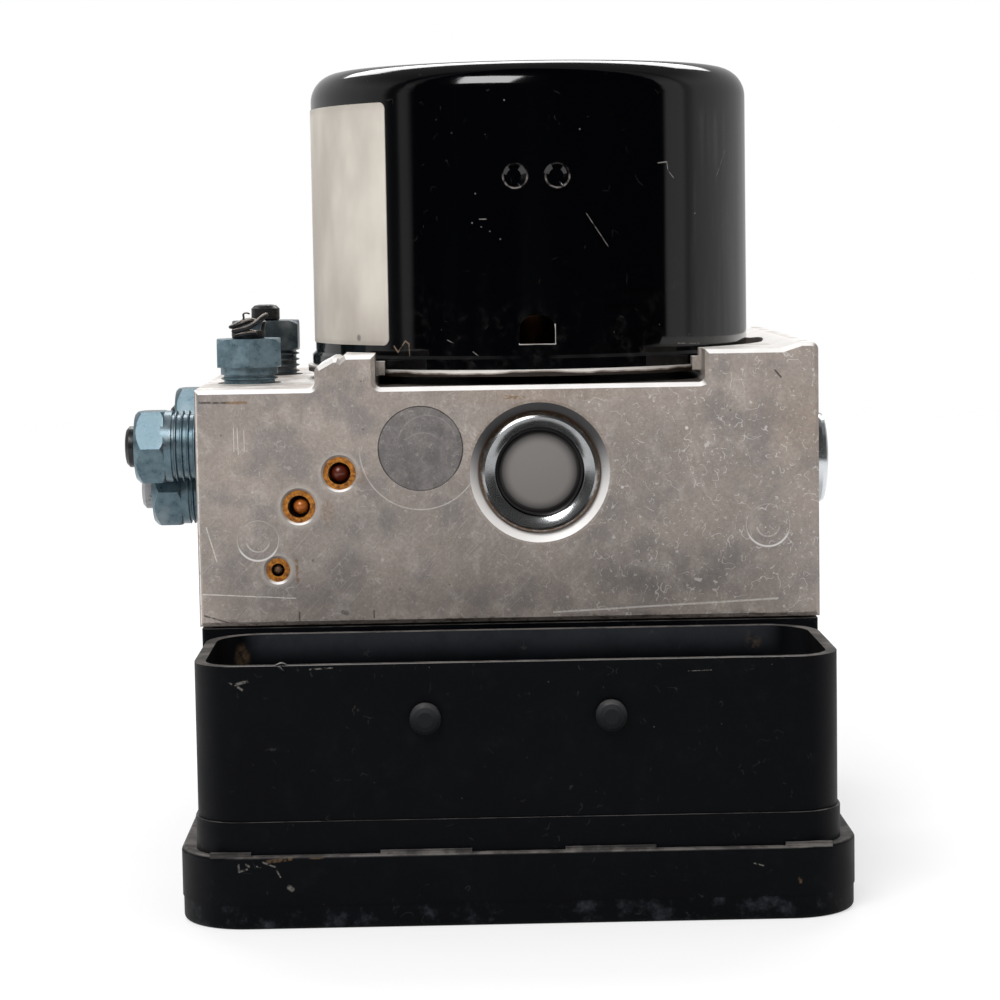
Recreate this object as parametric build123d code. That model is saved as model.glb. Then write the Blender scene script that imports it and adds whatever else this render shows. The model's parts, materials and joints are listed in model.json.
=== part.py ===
from build123d import *
import math
import os

# Brake hydraulic unit: pump motor on top, aluminium valve block in the middle and
# control unit below, with an upward facing connector socket in front of the block.
# Millimetres. X is to the right, Y to the back, Z up. The motor axis is X = 0, Y = 0
# and Z = 0 is the flat underside of the control unit.

# Fits
RUNNING_FIT = 0.02
PISTON_FIT = 0.03
BRUSH_GAP = 0.15
BRUSH_SLIDE = 0.05
AIR_GAP = 0.6
CUT_PAST = 1.0

# Pump motor
CAN_RADIUS = 38.5
CAN_WALL = 2.0
CAN_HEIGHT = 51.05
CAN_TOP_FILLET = 5.0
LIP_PROUD = 0.6
LIP_HEIGHT = 2.3
FLANGE_PROUD = 1.4
FLANGE_THICKNESS = 1.1
WINDOW_WIDTH = 5.9
WINDOW_HEIGHT = 4.7
WINDOW_RISE = 4.2
WINDOW_CORNER = 2.4
DIMPLE_RADIUS = 2.1
DIMPLE_DEPTH = 0.6
DIMPLE_TAPER = 0.9
DIMPLE_SPACING = 7.0
DIMPLE_BELOW_TOP = 19.15
LABEL_THICKNESS = 0.15
LABEL_HEIGHT = 40.7
LABEL_RISE = 4.0
LABEL_START = 40.0
LABEL_SPAN = 92.0
LABEL_CORNER = 1.2
SHAFT_RADIUS = 4.0
BEARING_RADIUS = 11.0
BEARING_WIDTH = 7.0
TOP_BEARING_RADIUS = 8.0
TOP_BEARING_WIDTH = 5.0
TOP_BEARING_CUP = 1.5
MAGNET_THICKNESS = 6.0
MAGNET_HEIGHT = 30.0
MAGNET_SPAN = 140.0
MAGNET_BELOW_TOP = 5.5
ROTOR_HEIGHT = 26.0
ROTOR_SLOTS = 10
SLOT_WIDTH = 6.0
SLOT_INNER = 13.0
SLOT_RIM = 2.5
WINDING_OVERHANG = 3.0
COMMUTATOR_RADIUS = 10.5
COMMUTATOR_HEIGHT = 8.0
COMMUTATOR_BARS = 10
COMMUTATOR_SLIT = 0.6
BRUSH_PLATE_GAP = 2.5
BRUSH_PLATE_THICKNESS = 2.0
BRUSH_WIDTH = 6.0
BRUSH_HEIGHT = 5.0
BRUSH_LENGTH = 12.0
BRUSH_BOX_WALL = 1.5
TERMINAL_X = -27.0
TERMINAL_SPACING = 3.6
TERMINAL_RADIUS = 0.9
TERMINAL_STEM_RADIUS = 3.8

# Valve block, an extruded bar whose section lies in X and Z. Its ledges stand round the
# motor's flange, which sits in a round pocket across them
FLANGE_RADIUS = CAN_RADIUS + FLANGE_PROUD
POCKET_CLEARANCE = 1.55
POCKET_RADIUS = FLANGE_RADIUS + POCKET_CLEARANCE
SEAT_LEFT = 14.45
SEAT_RIGHT = 13.85
LEDGE_WIDTH_LEFT = 10.0
LEDGE_WIDTH_RIGHT = 18.8
SHOULDER_WIDTH = 19.9
CHANNEL_LEFT = POCKET_RADIUS - SEAT_LEFT
CHANNEL_RIGHT = POCKET_RADIUS - SEAT_RIGHT
LEDGE_LEFT = CHANNEL_LEFT + LEDGE_WIDTH_LEFT
BLOCK_LEFT = LEDGE_LEFT + SHOULDER_WIDTH
BLOCK_RIGHT = CHANNEL_RIGHT + LEDGE_WIDTH_RIGHT
BLOCK_DEPTH = 81.0
BLOCK_BOTTOM = 39.8
BLOCK_HEIGHT = 39.3
BLOCK_EDGE = 0.7
LEDGE_RISE = 5.4
LEDGE_LEFT_RISE = 3.3
LEDGE_SLOPE = 3.0
LEDGE_STEP = 0.45
LEDGE_STEP_WIDTH = 0.9
LEDGE_DIP = 0.25
LEDGE_DIP_WIDTH = 0.3
LEDGE_RISE_WIDTH = 0.8
LEDGE_ROOT_FILLET = 1.0
RAMP_FROM_CHANNEL = 12.8
RAMP_LENGTH = 3.1
RAMP_RISE = 1.0
RAMP_FILLET = 1.4
FLANGE_SEAT_RISE = 1.4
LUG_WIDTH = 1.5
LUG_RISE = 1.45
LUG_DROP = 0.75
LUG_FRONT = 2.0
LUG_OVERLAP = 1.35
LUG_STEP = 0.4

# Pump, with two pistons along Y driven by the eccentric
PUMP_Z = 64.6
ECCENTRICITY = 1.0
JOURNAL_RADIUS = 6.0
RING_RADIUS = 8.5
RING_WIDTH = 7.4
CAVITY_DROP = 5.5
PISTON_RADIUS = 3.25
PISTON_HEAD_RADIUS = 5.4
PISTON_HEAD_LENGTH = 1.8
PISTON_STROKE = 1.0
PISTON_END_GAP = 0.05
PUMP_SPRING_RADIUS = 4.6
PUMP_SPRING_WIRE = 0.9
PUMP_SPRING_TURNS = 4
PUMP_CHAMBER_RADIUS = 6.2
PUMP_CHAMBER_INSET = 17.1
PUMP_COVER_RADIUS = 10.0
PUMP_COVER_DEPTH = 7.5
PUMP_COVER_GROOVE = 7.4
PUMP_COVER_DISC = 6.5
PUMP_COVER_RECESS = 1.0
PUMP_COUNTERSINK = 1.65

# Low pressure accumulators, along X from the right face
ACCUMULATOR_INSET = 19.8
ACCUMULATOR_Z = 64.8
ACCUMULATOR_RADIUS = 8.0
ACCUMULATOR_PISTON_LENGTH = 8.0
ACCUMULATOR_PISTON_FLOOR = 5.0
ACCUMULATOR_STROKE = 5.0
ACCUMULATOR_RESERVE = 11.1
ACCUMULATOR_END_GAP = 0.3
ACCUMULATOR_SPRING_RADIUS = 6.2
ACCUMULATOR_SPRING_WIRE = 1.2
ACCUMULATOR_SPRING_TURNS = 4
COVER_RADIUS = 10.0
COVER_SEAT_DEPTH = 4.0
COVER_PROUD = 3.2
COVER_WALL = 2.0
COVER_SUNK = 0.6
COVER_POT_RADIUS = 7.8
COVER_POT_WALL = 0.8
COVER_POT_EDGE = 0.9

# Small plugs in the front face, as X, Z, outer radius, amber ring radius and recess radius
FRONT_PLUGS = (
    (-33.2, 65.0, 3.1, 2.7, 1.85),
    (-40.0, 59.6, 3.1, 2.7, 1.85),
    (-43.7, 49.1, 2.4, 1.95, 1.1),
)
FRONT_PLUG_DEPTH = 5.0
FRONT_PLUG_RECESS = 1.6
FRONT_PLUG_SUNK = 0.3
DISC_PLUG_X = -19.7
DISC_PLUG_Z = 68.9
DISC_PLUG_RADIUS = 7.1
DISC_PLUG_DEPTH = 4.0

# Hydraulic ports. A metric plug with its hexagon, collar and thread
THREAD_PITCH = 1.07
THREAD_DEPTH = 0.55
PLUG_DEPTH = 7.0
PLUG_TIP_CHAMFER = 1.0
PLUG_HEX_CHAMFER = 0.5
PLUG_END_CHAMFER = 0.7
SIDE_END_CHAMFER = 1.35
PLUG_COLLAR = 1.25
SPOT_FACE_DEPTH = 0.3
SPOT_FACE_WIDTH = 0.6
LARGE_THREAD = 6.05
LARGE_HEX = 12.0
SMALL_THREAD = 4.95
SMALL_HEX = 11.0
CAP_STEM = 2.4
CAP_STEM_DEPTH = 4.0
# Side ports on the left face, as distance behind the front face, Z, height of the hexagon's
# outer end, cap radius and cap height
SIDE_PORTS = (
    (14.5, 69.0, 11.2, 3.5, 1.8),
    (24.5, 60.8, 9.4, 3.3, 2.1),
    (37.1, 71.7, 6.4, 3.0, 1.2),
    (52.5, 60.8, 8.6, 3.3, 1.4),
)
SIDE_HEX_LENGTH = 5.0
SIDE_HEX_TURN = 30.0
# Top ports on the left shoulder, as distance from the ledge and Y
TOP_PORT_FRONT = (12.4, -16.0)
TOP_FRONT_HEIGHT = 7.65
TOP_FRONT_HEX_LENGTH = 4.9
TOP_FRONT_HEX_TURN = 34.0
TOP_FRONT_CAP = (2.9, 4.2)
TOP_PORT_REAR = (11.4, 14.5)
TOP_REAR_HEIGHT = 9.9
TOP_REAR_HEX_LENGTH = 5.4
TOP_REAR_HEX_TURN = 30.0
TOP_REAR_CAP = (2.6, 2.9)

# Solenoid valves under the block, in a grid
VALVE_COLUMNS = 4
VALVE_PITCH = 22.0
VALVE_ROW_PITCH = 26.0
VALVE_MARGIN = 18.9
VALVE_SEAT_RADIUS = 5.5
VALVE_SEAT_DEPTH = 12.0
DOME_RADIUS = 3.2
DOME_WALL = 0.4
POLE_LENGTH = 9.2
PLUNGER_LENGTH = 12.0
PLUNGER_STROKE = 0.4
PLUNGER_END_GAP = 0.1
NEEDLE_RADIUS = 0.8
NEEDLE_LENGTH = 7.0
COIL_RADIUS = 7.4
COIL_HEIGHT = 17.0
COIL_BORE = 3.6
YOKE_WALL = 1.0
YOKE_PLATE = 1.4

# Control unit housing
UNIT_SIDE = 0.2
UNIT_AHEAD = 1.7
UNIT_BEHIND = 0.5
UNIT_CORNER = 10.5
UNIT_BACK_CORNER = 3.0
COVER_THICKNESS = 3.7
COVER_INSET = 0.15
COVER_EDGE = 0.7
COVER_SKIN = 1.6
BASE_TOP = 11.2
BASE_EDGE = 0.6
FLOOR_THICKNESS = 2.0
BASE_WALL = 2.5
BOX_WALL = 2.2
BOX_INSET = 0.3
GASKET_THICKNESS = 0.4
GASKET_INSET = 1.5
SOCKET_SIDE = 2.6
SOCKET_GAP = 9.1
SOCKET_DEPTH = 36.0
SOCKET_TOP = 39.9
SOCKET_WALL = 1.7
SOCKET_FRONT_CORNER = 7.2
SOCKET_BACK_CORNER = 9.0
SOCKET_FLOOR = 15.0
SOCKET_FLOOR_THICKNESS = 2.2
SOCKET_STEP_Z = 16.2
SOCKET_STEP = 0.35
LOCK_PIN_X = (-19.2, 8.8)
LOCK_PIN_Z = 31.6
LOCK_PIN_RADIUS = 2.35
LOCK_PIN_PROUD = 1.9
# Low lips on the front of the base, as their left and right ends
BASE_LIPS = ((-52.0, -45.8), (-26.3, -12.5), (1.6, 15.3), (34.9, 42.0))
LIP_RISE = 0.5
LIP_THICKNESS = 1.2

# Board, contacts and screws inside the control unit
BOARD_THICKNESS = 1.6
BOARD_GAP = 0.5
BOARD_POST_RADIUS = 2.0
BOARD_POST_EDGE = 8.0
BOARD_POST_CORNER = 20.0
BOARD_DROP = 1.6
SIGNAL_COLUMNS = 12
SIGNAL_ROWS = 3
SIGNAL_PITCH = 4.0
SIGNAL_ROW_PITCH = 5.5
SIGNAL_WIDTH = 0.64
SIGNAL_TIP = 28.0
SIGNAL_START = -35.0
BLADE_X = (17.0, 24.0, 31.0)
BLADE_WIDTH = 4.8
BLADE_THICKNESS = 0.8
BLADE_TIP = 30.0
SCREW_SIDE = 7.4
SCREW_END = 7.0
SCREW_RADIUS = 2.0
SCREW_HEAD_RADIUS = 3.5
SCREW_HEAD_HEIGHT = 2.0
SCREW_IN_BLOCK = 8.0
SCREW_COLUMN = 4.2

# Blind threaded mounting holes in the back face
MOUNT_SIDE = (14.9, 14.4)
MOUNT_Z = 49.0
MOUNT_RADIUS = 3.0
MOUNT_DEPTH = 14.0

# Levels and faces that follow from the sizes above
BLOCK_TOP = BLOCK_BOTTOM + BLOCK_HEIGHT
BLOCK_FRONT = -BLOCK_DEPTH / 2
BLOCK_BACK = BLOCK_DEPTH / 2
LEDGE_TOP = BLOCK_TOP + LEDGE_RISE
RAMP_START = CHANNEL_RIGHT + RAMP_FROM_CHANNEL
FLANGE_SEAT = BLOCK_TOP + FLANGE_SEAT_RISE
CAN_BOTTOM = FLANGE_SEAT + FLANGE_THICKNESS
CAN_TOP = CAN_BOTTOM + CAN_HEIGHT
CAN_CEILING = CAN_TOP - CAN_WALL
MAGNET_TOP = CAN_CEILING - MAGNET_BELOW_TOP
MAGNET_MIDDLE = MAGNET_TOP - MAGNET_HEIGHT / 2
ROTOR_BOTTOM = MAGNET_MIDDLE - ROTOR_HEIGHT / 2
ROTOR_TOP = MAGNET_MIDDLE + ROTOR_HEIGHT / 2
MAGNET_INNER = CAN_RADIUS - CAN_WALL - MAGNET_THICKNESS
ROTOR_RADIUS = MAGNET_INNER - AIR_GAP
BRUSH_PLATE_RADIUS = CAN_RADIUS - CAN_WALL - BRUSH_PLATE_GAP
BRUSH_PLATE_TOP = CAN_BOTTOM + BRUSH_PLATE_THICKNESS
BRUSH_Z = BRUSH_PLATE_TOP + BRUSH_BOX_WALL + BRUSH_HEIGHT / 2
COMMUTATOR_BOTTOM = BRUSH_Z - COMMUTATOR_HEIGHT / 2
CAVITY_RADIUS = RING_RADIUS + ECCENTRICITY + 1.0
CAVITY_BOTTOM = PUMP_Z - RING_WIDTH / 2 - CAVITY_DROP
BEARING_SEAT = BLOCK_TOP - BEARING_WIDTH
RING_REACH = RING_RADIUS + ECCENTRICITY + PISTON_END_GAP
PUMP_CHAMBER_Y = BLOCK_BACK - PUMP_CHAMBER_INSET
PISTON_HEAD_Y = PUMP_CHAMBER_Y + PISTON_STROKE + 0.3
PUMP_COVER_Y = BLOCK_BACK - PUMP_COVER_DEPTH
ACCUMULATOR_Y = BLOCK_BACK - ACCUMULATOR_INSET
UNIT_LEFT = BLOCK_LEFT + UNIT_SIDE
UNIT_RIGHT = BLOCK_RIGHT + UNIT_SIDE
UNIT_BACK = BLOCK_BACK + UNIT_BEHIND
SOCKET_LEFT = BLOCK_LEFT - SOCKET_SIDE
SOCKET_RIGHT = BLOCK_RIGHT - SOCKET_SIDE
SOCKET_BACK = BLOCK_BACK + SOCKET_GAP
SOCKET_FRONT = SOCKET_BACK + SOCKET_DEPTH
UNIT_FRONT = SOCKET_FRONT + UNIT_AHEAD
SCREW_X = (SCREW_SIDE - BLOCK_LEFT, BLOCK_RIGHT - SCREW_SIDE)
SCREW_Y = (SCREW_END - BLOCK_BACK, BLOCK_BACK - SCREW_END)
VALVE_X = [VALVE_MARGIN - BLOCK_LEFT + VALVE_PITCH * i for i in range(VALVE_COLUMNS)]
VALVE_Y = (-VALVE_ROW_PITCH / 2, VALVE_ROW_PITCH / 2)
MOUNT_X = (MOUNT_SIDE[0] - BLOCK_LEFT, BLOCK_RIGHT - MOUNT_SIDE[1])
BOX_TOP = BLOCK_BOTTOM - GASKET_THICKNESS
BOX_LEFT = BLOCK_LEFT - BOX_INSET
BOX_RIGHT = BLOCK_RIGHT - BOX_INSET
BOX_BACK = BLOCK_BACK - BOX_INSET
BOARD_CEILING = BASE_TOP - FLOOR_THICKNESS
BOARD_TOP = BOARD_CEILING - BOARD_DROP
BOARD_BOTTOM = BOARD_TOP - BOARD_THICKNESS
ACCUMULATOR_TRAVEL = ACCUMULATOR_PISTON_LENGTH + ACCUMULATOR_STROKE + ACCUMULATOR_END_GAP
ACCUMULATOR_END = BLOCK_RIGHT - ACCUMULATOR_TRAVEL - ACCUMULATOR_RESERVE
PLUNGER_TOP = BLOCK_BOTTOM - PLUNGER_END_GAP
POLE_TOP = PLUNGER_TOP - PLUNGER_LENGTH - PLUNGER_STROKE - PLUNGER_END_GAP
DOME_BOTTOM = POLE_TOP - POLE_LENGTH
COIL_BOTTOM = BASE_TOP + YOKE_PLATE


def cylinder(radius, low, high, x=0.0, y=0.0):
    """Upright cylinder from one height to another."""
    return Pos(x, y, (low + high) / 2) * Cylinder(radius, high - low)


def tube(outer, inner, low, high, x=0.0, y=0.0):
    """Upright ring with a through bore."""
    return cylinder(outer, low, high, x, y) - cylinder(inner, low - 1, high + 1, x, y)


def block_between(x0, x1, y0, y1, z0, z1):
    """Rectangular solid between two corners."""
    return Pos((x0 + x1) / 2, (y0 + y1) / 2, (z0 + z1) / 2) * Box(x1 - x0, y1 - y0, z1 - z0)


def turned(points, origin, direction):
    """Turned piece. Points are (distance along the axis, radius)."""
    along = Vector(*direction)
    side = Vector(0, 0, 1) if abs(along.Z) < 0.5 else Vector(0, 1, 0)
    plane = Plane(origin=origin, x_dir=along, z_dir=along.cross(side))
    section = plane * make_face(Polyline(*points, close=True))
    return revolve(section, Axis(origin, direction), 360)


def rod(radius, start, end, origin, direction):
    """Cylinder along any axis, between two distances from its origin."""
    return turned([(start, 0), (end, 0), (end, radius), (start, radius)], origin, direction)


def rounded_plan(left, right, front, back, front_corner, back_corner):
    """Plan of a box seen from above, with its own front and back corner radii."""
    width = right - left
    depth = back - front
    sketch = Pos((left + right) / 2, (front + back) / 2) * Rectangle(width, depth)
    front_points = sketch.vertices().sort_by(Axis.Y)[:2]
    sketch = fillet(front_points, front_corner)
    back_points = sketch.vertices().sort_by(Axis.Y)[-2:]
    return fillet(back_points, back_corner)


def slab(plan, low, high):
    """Plan raised from one height to another."""
    return extrude(Pos(0, 0, low) * plan, high - low)


def spring(radius, wire, turns, length, origin, direction):
    """Helical spring with square wire and a flat ring at each end."""
    along = Vector(*direction)
    helix = Helix((length - wire) / turns, length - wire, radius)
    start = Plane(origin=helix @ 0, z_dir=helix % 0)
    coil = sweep(start * Rectangle(wire * 0.9, wire * 0.9), helix, is_frenet=True)
    body = Pos(0, 0, wire / 2) * coil
    for low in (0, length - wire):
        body += tube(radius + wire / 2, radius - wire / 2, low, low + wire)
    side = Vector(0, 0, 1) if abs(along.Z) < 0.5 else Vector(1, 0, 0)
    return Plane(origin=origin, x_dir=side, z_dir=along) * body


def block_section():
    """Section of the extruded bar: left shoulder, ledge, channel, ledge and ramp."""
    left_rise = BLOCK_TOP + LEDGE_LEFT_RISE
    step = LEDGE_TOP - LEDGE_STEP
    step_start = LEDGE_SLOPE - LEDGE_LEFT
    dip_start = step_start + LEDGE_STEP_WIDTH
    dip = dip_start + LEDGE_DIP_WIDTH
    ramp_end = RAMP_START + RAMP_LENGTH
    points = [
        (-BLOCK_LEFT, BLOCK_BOTTOM),
        (-BLOCK_LEFT, BLOCK_TOP),
        (-LEDGE_LEFT, BLOCK_TOP),
        (-LEDGE_LEFT, left_rise),
        (step_start, step),
        (dip_start, step),
        (dip, step - LEDGE_DIP),
        (dip + LEDGE_RISE_WIDTH, LEDGE_TOP),
        (-CHANNEL_LEFT, LEDGE_TOP),
        (-CHANNEL_LEFT, BLOCK_TOP),
        (CHANNEL_RIGHT, BLOCK_TOP),
        (CHANNEL_RIGHT, LEDGE_TOP),
        (RAMP_START, LEDGE_TOP),
        (ramp_end, LEDGE_TOP + RAMP_RISE),
        (BLOCK_RIGHT, LEDGE_TOP + RAMP_RISE),
        (BLOCK_RIGHT, BLOCK_BOTTOM),
    ]
    section = make_face(Polyline(*points, close=True))
    roots = [-LEDGE_LEFT, -CHANNEL_LEFT, CHANNEL_RIGHT]
    low = [v for v in section.vertices() if v.Y < BLOCK_TOP + 0.01]
    inner = [v for v in low if min(abs(v.X - x) for x in roots) < 0.01]
    section = fillet(inner, LEDGE_ROOT_FILLET)
    corner = [v for v in section.vertices() if v.X > BLOCK_RIGHT - 0.01 and v.Y > LEDGE_TOP]
    section = fillet(corner, RAMP_FILLET)
    knee = [v for v in section.vertices() if abs(v.X + LEDGE_LEFT) < 0.01 and abs(v.Y - left_rise) < 0.01]
    return fillet(knee, LEDGE_ROOT_FILLET)


def stake_lugs():
    """Small lugs of block metal pressed over the motor flange at the front of the channel."""
    lugs = []
    for wall, inward, step in ((-CHANNEL_LEFT, 1, 0), (CHANNEL_RIGHT, -1, LUG_STEP)):
        y = -math.sqrt(POCKET_RADIUS**2 - wall**2)
        root = wall - inward * LUG_STEP
        x0, x1 = sorted((root, wall + inward * LUG_WIDTH))
        low = CAN_BOTTOM - LUG_DROP
        high = CAN_BOTTOM + LUG_RISE
        lug = block_between(x0, x1, y - LUG_FRONT, y + LUG_OVERLAP, low, high)
        if step:
            x0, x1 = sorted((root, wall + inward * step))
            lug += block_between(x0, x1, y - LUG_FRONT, y, high, LEDGE_TOP)
        lugs.append(lug - cylinder(POCKET_RADIUS, low - CUT_PAST, CAN_BOTTOM))
    return lugs


def valve_block():
    section = Plane.XZ * block_section()
    body = extrude(section, BLOCK_DEPTH / 2, both=True)
    ends = body.faces().filter_by(Axis.Y).edges()
    body = chamfer(ends, BLOCK_EDGE)
    body -= cylinder(POCKET_RADIUS, FLANGE_SEAT, CAN_TOP)
    for lug in stake_lugs():
        body += lug
    # Bearing seat, eccentric chamber and cable duct
    body -= cylinder(BEARING_RADIUS, BEARING_SEAT, BLOCK_TOP + CUT_PAST)
    body -= cylinder(CAVITY_RADIUS, CAVITY_BOTTOM, BEARING_SEAT + 0.01)
    body -= cylinder(TERMINAL_STEM_RADIUS + 0.2, BLOCK_BOTTOM - 1, FLANGE_SEAT + 1, TERMINAL_X)
    # Pump bores with their chambers and cover seats
    for sign in (-1, 1):
        origin = (0, 0, PUMP_Z)
        way = (0, sign, 0)
        body -= rod(PISTON_RADIUS + PISTON_FIT, CAVITY_RADIUS - 2, PUMP_CHAMBER_Y + 1, origin, way)
        body -= rod(PUMP_CHAMBER_RADIUS, PUMP_CHAMBER_Y, PUMP_COVER_Y + 0.01, origin, way)
        body -= rod(PUMP_COVER_RADIUS, PUMP_COVER_Y, BLOCK_BACK + 1, origin, way)
        sink = [
            (BLOCK_BACK - PUMP_COUNTERSINK, 0),
            (BLOCK_BACK + 0.5, 0),
            (BLOCK_BACK + 0.5, PUMP_COVER_RADIUS + PUMP_COUNTERSINK + 0.5),
            (BLOCK_BACK - PUMP_COUNTERSINK, PUMP_COVER_RADIUS),
        ]
        body -= turned(sink, origin, way)
    # Accumulator bores
    for y in (-ACCUMULATOR_Y, ACCUMULATOR_Y):
        origin = (0, y, ACCUMULATOR_Z)
        body -= rod(ACCUMULATOR_RADIUS, ACCUMULATOR_END, BLOCK_RIGHT + 1, origin, (1, 0, 0))
        body -= rod(COVER_RADIUS, BLOCK_RIGHT - COVER_SEAT_DEPTH, BLOCK_RIGHT + 1, origin, (1, 0, 0))
    # Plugs in the front face
    for x, z, outer, ring, recess in FRONT_PLUGS:
        origin = (x, BLOCK_FRONT, z)
        body -= rod(ring, -1, FRONT_PLUG_DEPTH + FRONT_PLUG_SUNK, origin, (0, 1, 0))
        rim = [(-0.5, 0), (0.4, 0), (0.4, ring), (0, outer), (-0.5, outer)]
        body -= turned(rim, origin, (0, 1, 0))
        body -= rod(recess, 0, FRONT_PLUG_DEPTH + 5, origin, (0, 1, 0))
    origin = (DISC_PLUG_X, BLOCK_FRONT, DISC_PLUG_Z)
    body -= rod(DISC_PLUG_RADIUS, -1, DISC_PLUG_DEPTH, origin, (0, 1, 0))
    body -= rod(DISC_PLUG_RADIUS - 2, 0, DISC_PLUG_DEPTH + 4, origin, (0, 1, 0))
    # Threaded ports with a spot face round each
    for behind, z, height, cap, rise in SIDE_PORTS:
        body -= port_bore(LARGE_THREAD, side_port(behind, z), (1, 0, 0))
    body -= port_bore(SMALL_THREAD, top_port(TOP_PORT_FRONT), (0, 0, -1))
    body -= port_bore(LARGE_THREAD, top_port(TOP_PORT_REAR), (0, 0, -1))
    # Valve seats, screw holes and mounting holes
    for x in VALVE_X:
        for y in VALVE_Y:
            body -= cylinder(VALVE_SEAT_RADIUS, BLOCK_BOTTOM - 1, BLOCK_BOTTOM + VALVE_SEAT_DEPTH, x, y)
    for x in SCREW_X:
        for y in SCREW_Y:
            body -= cylinder(SCREW_RADIUS, BLOCK_BOTTOM - 1, BLOCK_BOTTOM + SCREW_IN_BLOCK + 1, x, y)
    for x in MOUNT_X:
        body -= rod(MOUNT_RADIUS, -1, MOUNT_DEPTH, (x, BLOCK_BACK, MOUNT_Z), (0, -1, 0))
    return body


def side_port(behind, z):
    """Centre of a side port in the left face."""
    return (-BLOCK_LEFT, BLOCK_FRONT + behind, z)


def top_port(place):
    """Centre of a top port in the left shoulder."""
    return (-LEDGE_LEFT - place[0], place[1], BLOCK_TOP)


def port_bore(thread, origin, inward):
    """Blind bore for a plug, with a shallow spot face and a drilled point."""
    spot = thread + SPOT_FACE_WIDTH
    points = [
        (-1, 0),
        (-1, spot),
        (SPOT_FACE_DEPTH, spot),
        (SPOT_FACE_DEPTH, thread),
        (PLUG_DEPTH + 1, thread),
        (PLUG_DEPTH + 4, 0),
    ]
    return turned(points, origin, inward)


def threaded_stem(thread, length):
    """Profile of the stem with a sharp crest at each pitch, from inside the bore outward."""
    points = [
        (-PLUG_DEPTH, 0),
        (-PLUG_DEPTH, thread - PLUG_TIP_CHAMFER),
        (PLUG_TIP_CHAMFER - PLUG_DEPTH, thread),
    ]
    crests = math.ceil(length / THREAD_PITCH)
    for i in range(crests):
        start = length - (crests - i) * THREAD_PITCH
        if i == 0:
            points.append((start - THREAD_PITCH * 0.1, thread))
            points.append((start, thread - THREAD_DEPTH))
        points.append((start + THREAD_PITCH * 0.1, thread - THREAD_DEPTH))
        points.append((start + THREAD_PITCH * 0.28, thread))
        points.append((start + THREAD_PITCH * 0.42, thread))
        points.append((start + THREAD_PITCH * 0.6, thread - THREAD_DEPTH))
    return points


def hex_plug(thread, hexagon, height, hex_length, collar, end_chamfer, origin, outward, turn=0.0):
    """Port plug: threaded stem, collar and hexagon with rounded corners, bored for its cap."""
    hex_start = height - hex_length
    seat = hex_start + PLUG_HEX_CHAMFER
    stem = threaded_stem(thread, hex_start - collar)
    if collar:
        stem += [(hex_start - collar, thread - THREAD_DEPTH), (hex_start - collar, thread), (seat, thread)]
    else:
        stem += [(seat, thread - THREAD_DEPTH)]
    stem += [(seat, 0)]
    along = Vector(*outward)
    side = Vector(0, 0, 1) if abs(along.Z) < 0.5 else Vector(1, 0, 0)
    plane = Plane(origin=Vector(*origin) + along * hex_start, x_dir=side, z_dir=along)
    flats = RegularPolygon(hexagon / 2, 6, major_radius=False, rotation=turn)
    head = extrude(plane * flats, hex_length)
    corner = hexagon / math.sqrt(3)
    bevel = [
        (hex_start, 0),
        (hex_start, corner - PLUG_HEX_CHAMFER),
        (seat, corner),
        (height - end_chamfer, corner),
        (height, corner - end_chamfer),
        (height, 0),
    ]
    head = head & turned(bevel, origin, outward)
    plug = head + turned(stem, origin, outward)
    return plug - rod(CAP_STEM, height - CAP_STEM_DEPTH, height + 1, origin, outward)


def port_cap(radius, rise, height, origin, outward):
    """Plastic cap whose stem is pushed into the plug."""
    points = [
        (height - CAP_STEM_DEPTH + 0.3, 0),
        (height - CAP_STEM_DEPTH + 0.3, CAP_STEM - 0.4),
        (height - CAP_STEM_DEPTH + 0.8, CAP_STEM),
        (height, CAP_STEM),
        (height, radius - 0.3),
        (height + 0.3, radius),
        (height + rise - 0.7, radius),
        (height + rise - 0.15, radius - 0.6),
        (height + rise, radius - 1.3),
        (height + rise, 0),
    ]
    return turned(points, origin, outward)


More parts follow.
